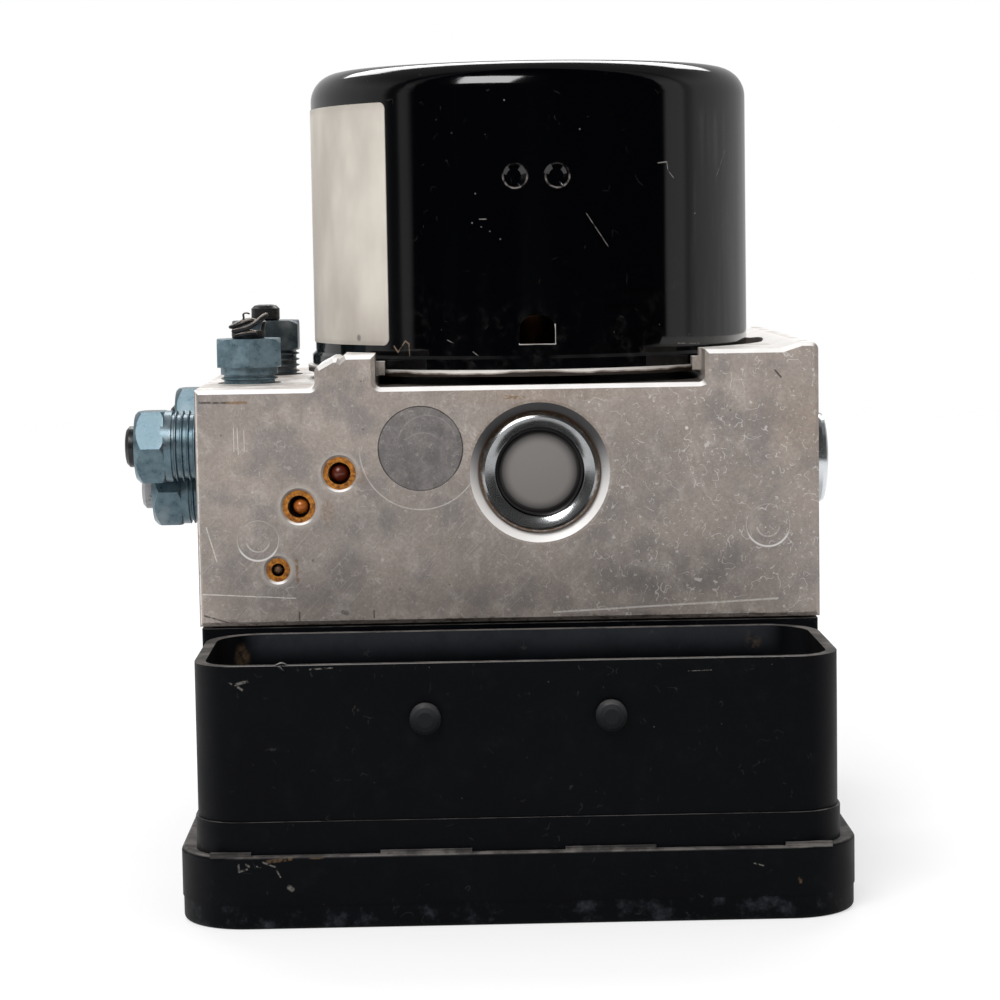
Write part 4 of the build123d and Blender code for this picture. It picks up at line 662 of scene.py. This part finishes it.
def housing_marks(look, color, patches):
    """Pale specks, scuffs and fine scratches, and brown dirt."""
    specks = look.most(look.specks(2.6, 0.14, 0.10), look.specks(6.0, 0.28, 0.22, 9.0))
    scuffs = look.most(flat_lines(look, SOCKET_SCUFFS, SOCKET_Y), flat_lines(look, BASE_SCUFFS, BASE_Y))
    hairs = look.times(look.hairs(4.0, 0.63, 0.008, 2.0), 0.035)
    pale = look.most(look.times(specks, 0.16), look.times(scuffs, broken_mask(look), 0.26), hairs)
    color = look.blend(pale, color, (0.34, 0.32, 0.29))
    brown = look.times(flat_lines(look, BASE_BROWN, BASE_Y), broken_mask(look))
    dirt = look.most(
        look.spot((-49.0, -52.5, 36.5), (1.6, 3, 2.6), 0.6),
        look.spot((34.0, -52.0, 37.5), (1.8, 3, 2.4), 0.8),
    )
    brown = look.most(brown, look.times(dirt, look.band(patches, 0.42, 0.6)))
    return look.blend(look.times(brown, 0.34), color, (0.16, 0.10, 0.055))


def housing_plastic(name, dusty):
    """Matte black moulded plastic with dust on its ledges, painted light on its sides and inside, painted
    highlights on its rims, pins and edges, and pale scuffs.
    """
    look = Look(name)
    grain = look.noise(0.35, 3, 0.6)
    broad = look.noise(14, 4, 0.6)
    patches = look.noise(3.5, 5, 0.7, shift=6.0)
    color = look.blend(look.band(broad, 0.3, 0.75), (0.0003, 0.0006, 0.0013), (0.0010, 0.0015, 0.0025))
    color = look.blend(look.times(look.band(patches, 0.5, 0.8), dusty), color, (0.042, 0.047, 0.056))
    color, up = housing_light_and_dust(look, color, grain, patches)
    color = housing_edge_highlights(look, color, up)
    color = housing_marks(look, color, patches)
    look.set(Base_Color=color, Roughness=look.band(broad, 0.3, 0.7, 0.46, 0.58))
    look.set(Specular_IOR_Level=0.07)
    look.set(Normal=look.bump(grain, 0.012))
    return look.material


def zinc_plating(name, dark, light):
    """Blue zinc on steel, mottled between two tones, with grime."""
    look = Look(name)
    mottle = look.noise(1.6, 4, 0.6)
    broad = look.noise(6, 2)
    color = look.blend(look.band(mottle, 0.3, 0.7), dark, light)
    color = look.blend(look.math("MULTIPLY", look.band(broad, 0.5, 0.8), 0.3), color, (0.50, 0.52, 0.52))
    dirt = look.most(
        look.specks(1.9, 0.30, 0.22, 4.0),
        look.band(look.noise(2.2, 5, 0.75, shift=8.0), 0.62, 0.72),
    )
    color = look.blend(look.times(dirt, 0.55), color, (0.035, 0.030, 0.026))
    look.set(Base_Color=color, Metallic=0.55, Roughness=look.band(mottle, 0.3, 0.7, 0.26, 0.42))
    look.set(Normal=look.bump(look.noise(0.3, 2), 0.008))
    return look.material


def steel(name, color, roughness, metallic=0.8):
    """Turned steel with a soft mottle."""
    look = Look(name)
    mottle = look.noise(1.2, 4, 0.6)
    ring = look.noise(0.25, 2, stretch=(1, 12, 1))
    shade = look.blend(mottle, tuple(c * 0.86 for c in color), tuple(min(1, c * 1.12) for c in color))
    look.set(Base_Color=shade, Metallic=metallic)
    look.set(Roughness=look.band(mottle, 0.3, 0.7, roughness * 0.8, roughness * 1.2))
    look.set(Normal=look.bump(ring, 0.004))
    return look.material


def amber():
    """Brass coloured ring with an orange coat, darkened to near black deeper into its bore with painted
    shade.
    """
    look = Look("amber_plug")
    mottle = look.noise(0.5, 4, 0.65)
    color = look.blend(look.band(mottle, 0.3, 0.7), (0.14, 0.040, 0.003), (0.52, 0.20, 0.018))
    dots = look.most(look.specks(0.45, 0.15, 0.6), look.specks(0.7, 0.2, 0.4, 4.0))
    color = look.blend(look.times(dots, 0.75), color, (0.045, 0.012, 0.003))
    # Painted shade: the bore turns near black deeper in.
    deep = look.band(look.y, FRONT_Y + 0.35, FRONT_Y + 0.8)
    color = look.blend(deep, color, (0.030, 0.008, 0.003))
    look.set(Base_Color=color, Metallic=0.35, Roughness=0.30)
    look.set(Normal=look.bump(mottle, 0.03))
    return look.material


def ball_amber():
    """Balls at the bottom of the channel plugs: deep red brown, dotted orange and dull brown."""
    look = Look("ball_amber")
    dots = look.specks(0.42, 0.16, 0.7)
    upper = look.band(look.x, -36.5, -36.0)
    lower = look.band(look.x, -42.0, -42.5)
    color = look.blend(look.times(dots, 0.85), (0.34, 0.095, 0.012), (0.05, 0.012, 0.004))
    color = look.blend(upper, color, (0.085, 0.012, 0.003))
    color = look.blend(lower, color, (0.15, 0.085, 0.045))
    look.set(Base_Color=color, Metallic=0.15, Roughness=0.30)
    look.set(Normal=look.bump(look.noise(0.3, 3), 0.02))
    return look.material


def cover_metal():
    """Turned steel ring of the pump cover with its matt grey middle and brown dirt round its outer edge,
    and painted shade that darkens the middle towards its rim and fills the inner groove.
    """
    look = Look("cover_metal")
    mottle = look.noise(1.1, 4, 0.65)
    color = look.blend(mottle, (0.22, 0.225, 0.235), (0.38, 0.385, 0.385))
    away = look.distance((0, FRONT_Y + 1.6, PUMP_Z))
    brown = look.times(look.band(away, 9.5, 9.75), look.band(look.noise(0.8, 3, 0.6), 0.25, 0.55), 0.9)
    color = look.blend(brown, color, (0.12, 0.065, 0.03))
    # Painted shade: the sunk middle darkens towards its edge.
    middle = look.band(away, 7.15, 7.05)
    soft = look.band(away, 4.6, 6.7)
    grey = look.blend(soft, (0.172, 0.158, 0.150), (0.030, 0.027, 0.026))
    color = look.blend(middle, color, grey)
    # Painted shade filling the inner groove.
    groove = look.times(look.band(away, 6.5, 6.8), look.band(away, 7.55, 7.40))
    color = look.blend(groove, color, (0.006, 0.005, 0.005))
    look.set(Base_Color=color, Metallic=look.band(away, 7.1, 7.4, 0.0, 0.92))
    look.set(Roughness=look.band(away, 7.1, 7.4, 0.6, 0.20))
    look.set(Normal=look.bump(mottle, 0.01))
    return look.material


def cap_plastic():
    """Black plastic of the port caps: one cap is dusty, and the edges are worn pale."""
    look = Look("cap_plastic")
    mottle = look.noise(0.9, 4, 0.65)
    dusty = look.times(
        look.band(look.z, 65.5, 64.5), look.band(look.y, -9.0, -10.0), look.band(mottle, 0.2, 0.5)
    )
    torn = look.times(look.band(look.z, 86.6, 86.9), look.band(look.y, -11.5, -12.5))
    top = look.times(look.band(look.split(look.normal)[2], 0.25, 0.8), look.band(mottle, 0.35, 0.55), torn)
    color = look.blend(look.times(top, 0.75), (0.006, 0.006, 0.007), (0.30, 0.255, 0.215))
    color = look.blend(look.times(dusty, 0.70), color, (0.40, 0.40, 0.41))
    look.set(Base_Color=color, Roughness=look.band(mottle, 0.3, 0.7, 0.25, 0.5))
    look.set(Specular_IOR_Level=0.35)
    look.set(Normal=look.bump(mottle, 0.03))
    return look.material


def disc_metal():
    """Flush disc plug: dull grey metal with fine curved scratches."""
    look = Look("disc_metal")
    cloudy = look.noise(2.6, 5, 0.7)
    color = look.blend(look.band(cloudy, 0.35, 0.65), (0.115, 0.105, 0.103), (0.190, 0.172, 0.165))
    fine = look.noise(0.35, 3, 0.7, shift=5.0)
    color = look.blend(look.times(look.band(fine, 0.40, 0.65), 0.40), color, (0.085, 0.078, 0.076))
    hairs = look.most(look.hairs(1.6, 0.50, 0.014), look.hairs(3.0, 0.52, 0.010, 6.0))
    color = look.blend(look.times(hairs, 0.26), color, (0.46, 0.44, 0.42))
    arcs = [look.ring((-19.3, FRONT_Y, 67.6), 3.9, 0.18), look.ring((-18.6, FRONT_Y, 69.6), 4.8, 0.14)]
    upper = look.band(look.z, 69.5, 71.5)
    curved = look.times(look.most(*arcs), upper, look.band(fine, 0.3, 0.6), 0.22)
    color = look.blend(curved, color, (0.50, 0.48, 0.46))
    look.set(Base_Color=color, Metallic=0.15, Roughness=look.band(cloudy, 0.3, 0.7, 0.42, 0.60))
    look.set(Normal=look.bump(fine, 0.012))
    return look.material


def flange_metal():
    """Steel end plate: brown and dull, bright above a wavy line on its front and dark below it, with bright
    lugs.
    """
    look = Look("flange_metal")
    mottle = look.noise(1.5, 5, 0.7, (3.0, 1.0, 1.0))
    color = look.blend(look.band(mottle, 0.35, 0.65), (0.16, 0.125, 0.10), (0.40, 0.35, 0.31))
    wave = look.math("ADD", look.z, look.band(look.noise(7, 2, 0.5), 0.3, 0.7, -0.2, 0.2))
    color = look.blend(look.band(wave, 81.15, 80.95), color, (0.022, 0.015, 0.011))
    color = look.blend(look.times(look.band(wave, 81.2, 81.35), 0.85), color, (0.80, 0.76, 0.72))
    lugs = look.band(look.math("ABSOLUTE", look.x), 26.4, 26.7)
    color = look.blend(look.times(lugs, look.band(look.y, -27.5, -29.0)), color, (0.80, 0.77, 0.74))
    look.set(Base_Color=color, Metallic=0.45, Roughness=0.35)
    look.set(Normal=look.bump(mottle, 0.08))
    return look.material


def wear(objects, material):
    """Gives the named nodes that material."""
    for name in objects:
        for slot in nodes[name].material_slots:
            slot.material = material


LOOKS = {"cap": cap_plastic(), "cover": cover_metal(), "ball": ball_amber()}


def make_looks():
    plugs = ["side_plug_%d" % i for i in range(1, 5)]
    steel_inner = plain("steel_inner", (0.45, 0.45, 0.46), 0.9, 0.35)
    copper = plain("copper_wire", (0.60, 0.26, 0.12), 0.9, 0.35)
    groups = (
        (["valve_block"], block_metal()),
        (["motor_housing"], can_paint()),
        (["motor_label"], label_paper()),
        (["ecu_housing"], housing_plastic("housing_plastic", 0.035)),
        (["ecu_cover"], housing_plastic("cover_plastic", 0.55)),
        (plugs, zinc_plating("zinc_blue", (0.055, 0.095, 0.120), (0.125, 0.185, 0.215))),
        (["top_plug_front"], zinc_plating("zinc_pale", (0.085, 0.140, 0.170), (0.180, 0.255, 0.295))),
        (["top_plug_rear"], zinc_plating("zinc_dark", (0.018, 0.030, 0.038), (0.050, 0.072, 0.085))),
        (["side_plug_caps", "top_cap_front", "top_cap_rear"], LOOKS["cap"]),
        (["motor_flange"], flange_metal()),
        (["pump_cover_front", "pump_cover_rear"], steel("cover_steel", (0.40, 0.39, 0.38), 0.30)),
        (["accumulator_cover_front", "accumulator_cover_rear"],
         steel("cap_steel", (0.62, 0.64, 0.66), 0.22, 0.9)),
        (["disc_plug"], disc_metal()),
        (["channel_plugs"], amber()),
        (["ecu_gasket"], plain("seal_rubber", (0.006, 0.006, 0.007), 0.0, 0.7)),
        (["signal_contacts", "power_contacts"], plain("contact_tin", (0.50, 0.48, 0.44), 0.9, 0.30)),
        (["field_magnets"], plain("ferrite", (0.03, 0.03, 0.032), 0.0, 0.7)),
        (["brushes"], plain("carbon", (0.012, 0.012, 0.012), 0.1, 0.6)),
        (["brush_holder"], plain("brush_plate", (0.004, 0.004, 0.0045), 0.0, 0.6)),
        (["circuit_board"], plain("board", (0.01, 0.07, 0.03), 0.0, 0.4)),
        (["board_components"], plain("component", (0.012, 0.012, 0.013), 0.0, 0.5)),
        (["solenoid_coils", "rotor_windings", "commutator", "motor_terminals"], copper),
    )
    done = set()
    for names, material in groups:
        wear(names, material)
        done.update(names)
    wear(sorted(set(nodes) - done), steel_inner)


# The studio is white behind and at the sides and dark in front, as the can reflects it. Each stop is
# an angle in degrees, 0 towards the camera and 180 behind the part, and the light there.
STUDIO_LEFT = (
    (0, 0.012), (64, 0.012), (67, 0.42), (71.5, 0.46), (73.5, 0.05), (79, 0.06), (83, 0.45), (100, 0.55),
    (180, 0.60),
)
STUDIO_RIGHT = (
    (0, 0.012), (73, 0.012), (75, 0.56), (86, 0.56), (89, 0.28), (92, 0.34), (96, 0.52), (140, 0.46),
    (180, 0.50),
)
DIFFUSE_LIGHT = 0.62


def side_ramp(kit, angle, stops):
    """Light by angle on one side of the studio."""
    node = kit.add("ShaderNodeValToRGB")
    ramp = node.color_ramp
    while len(ramp.elements) < len(stops):
        ramp.elements.new(0.5)
    for element, (place, light) in zip(ramp.elements, stops):
        element.position = place / 180
        element.color = (light, light, light, 1)
    kit.give(node.inputs[0], angle)
    return node.outputs[0]


def make_world():
    world = bpy.data.worlds.new("studio")
    scene.world = world
    world.use_nodes = True
    kit = Nodes(world.node_tree)
    background = world.node_tree.nodes["Background"]
    x, y, z = kit.split(kit.add("ShaderNodeTexCoord").outputs["Generated"])
    turn = kit.math("ARCTAN2", x, kit.math("MULTIPLY", y, -1))
    angle = kit.math("ABSOLUTE", kit.math("DIVIDE", turn, math.pi))
    left = side_ramp(kit, angle, STUDIO_LEFT)
    right = side_ramp(kit, angle, STUDIO_RIGHT)
    reflected = kit.blend(kit.math("GREATER_THAN", x, 0), left, right)
    height = kit.band(z, 0.35, 0.75, 1.0, 0.35)
    reflected = kit.blend(1.0, reflected, height, "MULTIPLY")
    path = kit.add("ShaderNodeLightPath").outputs
    mirrored = kit.math("ADD", path["Is Glossy Ray"], path["Is Transmission Ray"], clamp=True)
    soft = kit.band(z, -0.6, 0.9, DIFFUSE_LIGHT * 0.75, DIFFUSE_LIGHT * 1.15)
    light = kit.blend(mirrored, soft, reflected)
    light = kit.blend(path["Is Camera Ray"], light, (1, 1, 1))
    kit.give(background.inputs["Color"], light)
    kit.give(background.inputs["Strength"], 1.0)


# Area lamps: name, place, the point that each looks at, width and height in metres, and power in watts
LAMPS = (
    ("key", (-0.35, -0.75, 0.85), (0, 0, 0.06), 0.5, 0.5, 9.0),
    ("back_top", (0.0, 0.75, 0.85), (0, 0, 0.10), 1.2, 0.35, 9.0),
)


def make_lamps():
    for name, place, aim, width, height, power in LAMPS:
        data = bpy.data.lights.new(name, "AREA")
        data.energy = power
        data.shape = "RECTANGLE"
        data.size = width
        data.size_y = height
        made = bpy.data.objects.new(name, data)
        scene.collection.objects.link(made)
        made.location = place
        made.rotation_euler = (Vector(aim) - Vector(place)).to_track_quat("-Z", "Y").to_euler()


# Floor: its side, the share of white that the camera sees in it, and where it fades out, in metres
FLOOR_SIZE = 3.0
FLOOR_GLOW = 0.55
FLOOR_FADE = (0.45, 1.2)


def make_floor():
    mesh = bpy.data.meshes.new("floor")
    half = FLOOR_SIZE / 2
    corners = [(-half, -half, 0), (half, -half, 0), (half, half, 0), (-half, half, 0)]
    mesh.from_pydata(corners, [], [(0, 1, 2, 3)])
    floor = bpy.data.objects.new("floor", mesh)
    scene.collection.objects.link(floor)
    material = bpy.data.materials.new("floor")
    material.use_nodes = True
    kit = Nodes(material.node_tree)
    shader = material.node_tree.nodes["Principled BSDF"]
    kit.give(shader.inputs["Base Color"], (0.86, 0.86, 0.86))
    kit.give(shader.inputs["Roughness"], 0.9)
    white = kit.add("ShaderNodeEmission")
    lift = kit.add("ShaderNodeMixShader")
    path = kit.add("ShaderNodeLightPath").outputs
    kit.give(lift.inputs[0], kit.math("MULTIPLY", path["Is Camera Ray"], FLOOR_GLOW))
    kit.give(lift.inputs[1], shader.outputs[0])
    kit.give(lift.inputs[2], white.outputs[0])
    # The sheet fades into the white surroundings away from the part
    place = kit.add("ShaderNodeTexCoord").outputs["Object"]
    fade = kit.band(kit.vector("LENGTH", place, output=1), *FLOOR_FADE)
    clear = kit.add("ShaderNodeBsdfTransparent")
    out = kit.add("ShaderNodeMixShader")
    kit.give(out.inputs[0], fade)
    kit.give(out.inputs[1], lift.outputs[0])
    kit.give(out.inputs[2], clear.outputs[0])
    kit.give(material.node_tree.nodes["Material Output"].inputs["Surface"], out.outputs[0])
    mesh.materials.append(material)


def around(axis):
    """Three directions: along the axis and two across it."""
    along = Vector(axis).normalized()
    first = Vector((0, 0, 1)) if abs(along.z) < 0.5 else Vector((1, 0, 0))
    across = along.cross(first).normalized()
    return along, across, along.cross(across)


def lathe(mesh, profile, origin, axis, segments, ripple=None):
    """Adds a turned closed shell to a bmesh. Profile points are (along, radius) in millimetres."""
    along, across, third = around(axis)
    base = Vector(origin)
    rings = []
    for step in range(segments):
        angle = 2 * math.pi * step / segments
        out = across * math.cos(angle) + third * math.sin(angle)
        row = []
        for index, (reach, radius) in enumerate(profile):
            push = ripple(index, angle) if ripple else 0.0
            row.append(mesh.verts.new((base + along * (reach + push) + out * radius) * MM))
        rings.append(row)
    made = [v for row in rings for v in row]
    count = len(profile)
    for step in range(segments):
        row, after = rings[step], rings[(step + 1) % segments]
        for index in range(count):
            other = (index + 1) % count
            if profile[index][1] > 0 or profile[other][1] > 0:
                mesh.faces.new((row[index], row[other], after[other], after[index]))
    bmesh.ops.remove_doubles(mesh, verts=made, dist=1e-7)


# A ribbon's section: points round it, and the power that squares its oval a little
RIBBON_SIDES = 10
RIBBON_POWER = 0.7


def ribbon(mesh, points, widths, thicknesses):
    """Adds a soft bar with an oval section along the points, with a width and a thickness at each."""
    spine = [Vector(p) for p in points]
    across = Vector((0, 1, 0))
    rows = []
    for i, place in enumerate(spine):
        ahead = (spine[min(i + 1, len(spine) - 1)] - spine[max(i - 1, 0)]).normalized()
        side = (across - ahead * ahead.dot(across)).normalized()
        over = ahead.cross(side)
        row = []
        for k in range(RIBBON_SIDES):
            angle = 2 * math.pi * k / RIBBON_SIDES
            circle = (math.cos(angle), math.sin(angle))
            bulge = [math.copysign(abs(f) ** RIBBON_POWER, f) for f in circle]
            offset = side * bulge[0] * widths[i] / 2 + over * bulge[1] * thicknesses[i] / 2
            row.append(mesh.verts.new((place + offset) * MM))
        rows.append(row)
    for row, after in zip(rows, rows[1:]):
        for k in range(RIBBON_SIDES):
            other = (k + 1) % RIBBON_SIDES
            mesh.faces.new((row[k], row[other], after[other], after[k]))
    mesh.faces.new(list(reversed(rows[0])))
    mesh.faces.new(rows[-1])


def near(base, offsets):
    """Points at those offsets from a base point."""
    return [tuple(b + o for b, o in zip(base, offset)) for offset in offsets]


def piece(name, mesh, material, soften=0, crease=38):
    """Makes an object of a bmesh: smooth below the crease angle, in degrees, and subdivided if wanted."""
    bmesh.ops.recalc_face_normals(mesh, faces=mesh.faces)
    data = bpy.data.meshes.new(name)
    mesh.to_mesh(data)
    mesh.free()
    for face in data.polygons:
        face.use_smooth = True
    data.set_sharp_from_angle(angle=math.radians(crease))
    data.materials.append(material)
    made = bpy.data.objects.new(name, data)
    scene.collection.objects.link(made)
    if soften:
        rounding = made.modifiers.new("rounding", "SUBSURF")
        rounding.levels = soften
        rounding.render_levels = soften
    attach(made, "unit")
    return made


def pump_cover_face():
    """Front pump cover: rounded outer edge, inward cone, deep groove and sunk middle."""
    profile = (
        (33.0, 0), (33.0, 10.0), (39.7, 10.0), (40.1, 9.80), (40.35, 9.50), (40.5, 9.15), (40.38, 8.7),
        (40.02, 7.62), (39.85, 7.43), (38.4, 7.40), (38.3, 7.20), (38.3, 6.90), (38.5, 6.60), (38.8, 6.20),
        (38.9, 5.6), (38.9, 0),
    )
    mesh = bmesh.new()
    lathe(mesh, profile, (0, 0, PUMP_Z), (0, -1, 0), 128)
    made = piece("pump_cover_face", mesh, LOOKS["cover"], crease=25)
    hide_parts("pump_cover_front")


# Balls in the channel plugs, as X, Y, Z and radius
PLUG_BALLS = ((-33.2, -38.55, 65.0, 1.55), (-39.7, -38.75, 59.55, 1.30), (-43.75, -38.9, 49.1, 0.80))
BALL_STEPS = 14


def plug_balls():
    for number, (x, y, z, radius) in enumerate(PLUG_BALLS, start=1):
        profile = [(radius, 0.0)]
        for i in range(1, BALL_STEPS):
            angle = math.pi * i / BALL_STEPS
            profile.append((radius * math.cos(angle), radius * math.sin(angle)))
        profile.append((-radius, 0.0))
        mesh = bmesh.new()
        lathe(mesh, profile, (x, y, z), (0, -1, 0), 40)
        piece("plug_ball_%d" % number, mesh, LOOKS["ball"])


# Torn cap: the plug's top, the neck's profile as (along, radius), and the points of its ragged edge
CAP_BASE = (-49.4, -16.0, 86.75)
CAP_NECK = (
    (-3.7, 0), (-3.7, 2.0), (-3.2, 2.4), (0, 2.4), (0, 2.75), (0.3, 2.9), (1.2, 2.95), (1.45, 2.8),
    (1.4, 2.3), (0.5, 2.1), (0.35, 0),
)
CAP_RAGGED = (6, 7, 8)
# Strips of the torn cap: offsets of the points from its base, widths and thicknesses
CAP_FLAP = (
    (
        (-3.4, -0.6, 2.0), (-2.6, -0.7, 2.1), (-1.4, -0.6, 2.6), (-0.2, -0.3, 3.1), (1.0, 0, 3.2),
        (2.0, 0.3, 2.7),
    ),
    (1.6, 3.2, 4.0, 4.2, 3.6, 2.0),
    (0.5, 1.0, 1.2, 1.1, 0.9, 0.6),
)
CAP_STRAP = (
    (
        (-2.9, -2.0, 1.3), (-1.2, -2.5, 1.5), (0.6, -2.6, 2.1), (2.0, -2.3, 3.1), (3.0, -1.7, 4.0),
        (3.5, -1.2, 4.2),
    ),
    (1.0, 1.3, 1.5, 1.7, 1.7, 1.0),
    (0.9, 0.9, 0.9, 1.0, 1.0, 0.6),
)
CAP_LOBE = (
    ((-2.4, -2.6, 0.5), (-1.0, -3.0, 0.8), (0.8, -3.0, 1.0), (1.9, -2.5, 0.8)),
    (0.6, 0.9, 0.9, 0.5),
    (0.5, 0.8, 0.9, 0.5),
)
CAP_BACK = (
    ((2.3, -0.6, 0.6), (2.5, -0.4, 1.9), (3.0, -0.6, 3.2)),
    (1.8, 2.2, 1.6),
    (0.7, 0.8, 0.7),
)
CAP_TAB = (
    ((-0.9, -1.4, 3.1), (-0.5, -1.6, 3.7), (-0.9, -1.7, 4.3), (-0.1, -1.7, 4.6), (0.5, -1.7, 4.2)),
    (0.7, 0.8, 1.0, 1.2, 0.8),
    (0.35, 0.4, 0.4, 0.4, 0.3),
)


def ragged_edge(index, angle):
    """How far a point of the neck's profile is pushed along its axis, in millimetres."""
    if index in CAP_RAGGED:
        return 0.22 * math.sin(3 * angle + 1) + 0.10 * math.sin(7 * angle)
    return 0.0


def torn_cap():
    """Cap of the front top plug, torn open: stem and neck, a bent flap, a strap and a loose tab."""
    mesh = bmesh.new()
    lathe(mesh, CAP_NECK, CAP_BASE, (0, 0, 1), 64, ragged_edge)
    for offsets, widths, thicknesses in (CAP_FLAP, CAP_STRAP, CAP_LOBE, CAP_BACK, CAP_TAB):
        ribbon(mesh, near(CAP_BASE, offsets), widths, thicknesses)
    made = piece("torn_cap", mesh, LOOKS["cap"], soften=1)
    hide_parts("top_cap_front")


# Torn flash on the front rim of the socket, as the cap's strips are given
BURR_BASE = (-40.7, -84.8, 39.85)
BURR_RIDGE = (
    ((-1.3, 0, -0.1), (-0.6, -0.1, 0.05), (0, -0.1, 0.35), (0.6, 0, 0.1), (1.2, 0, -0.15)),
    (0.4, 0.9, 1.1, 0.9, 0.4),
    (0.2, 0.5, 0.7, 0.5, 0.2),
)
BURR_CURL = (
    ((-0.5, -0.85, 0.1), (0.1, -1.0, -0.5), (0.7, -0.85, -0.9)),
    (0.3, 0.45, 0.2),
    (0.3, 0.45, 0.2),
)


def rim_burr():
    """Torn flash on the front rim of the socket."""
    mesh = bmesh.new()
    for offsets, widths, thicknesses in (BURR_RIDGE, BURR_CURL):
        ribbon(mesh, near(BURR_BASE, offsets), widths, thicknesses)
    piece("rim_burr", mesh, bpy.data.materials["housing_plastic"], soften=1)


make_camera()
make_world()
make_lamps()
make_floor()
make_looks()
pump_cover_face()
plug_balls()
torn_cap()
rim_burr()

bpy.context.view_layer.update()
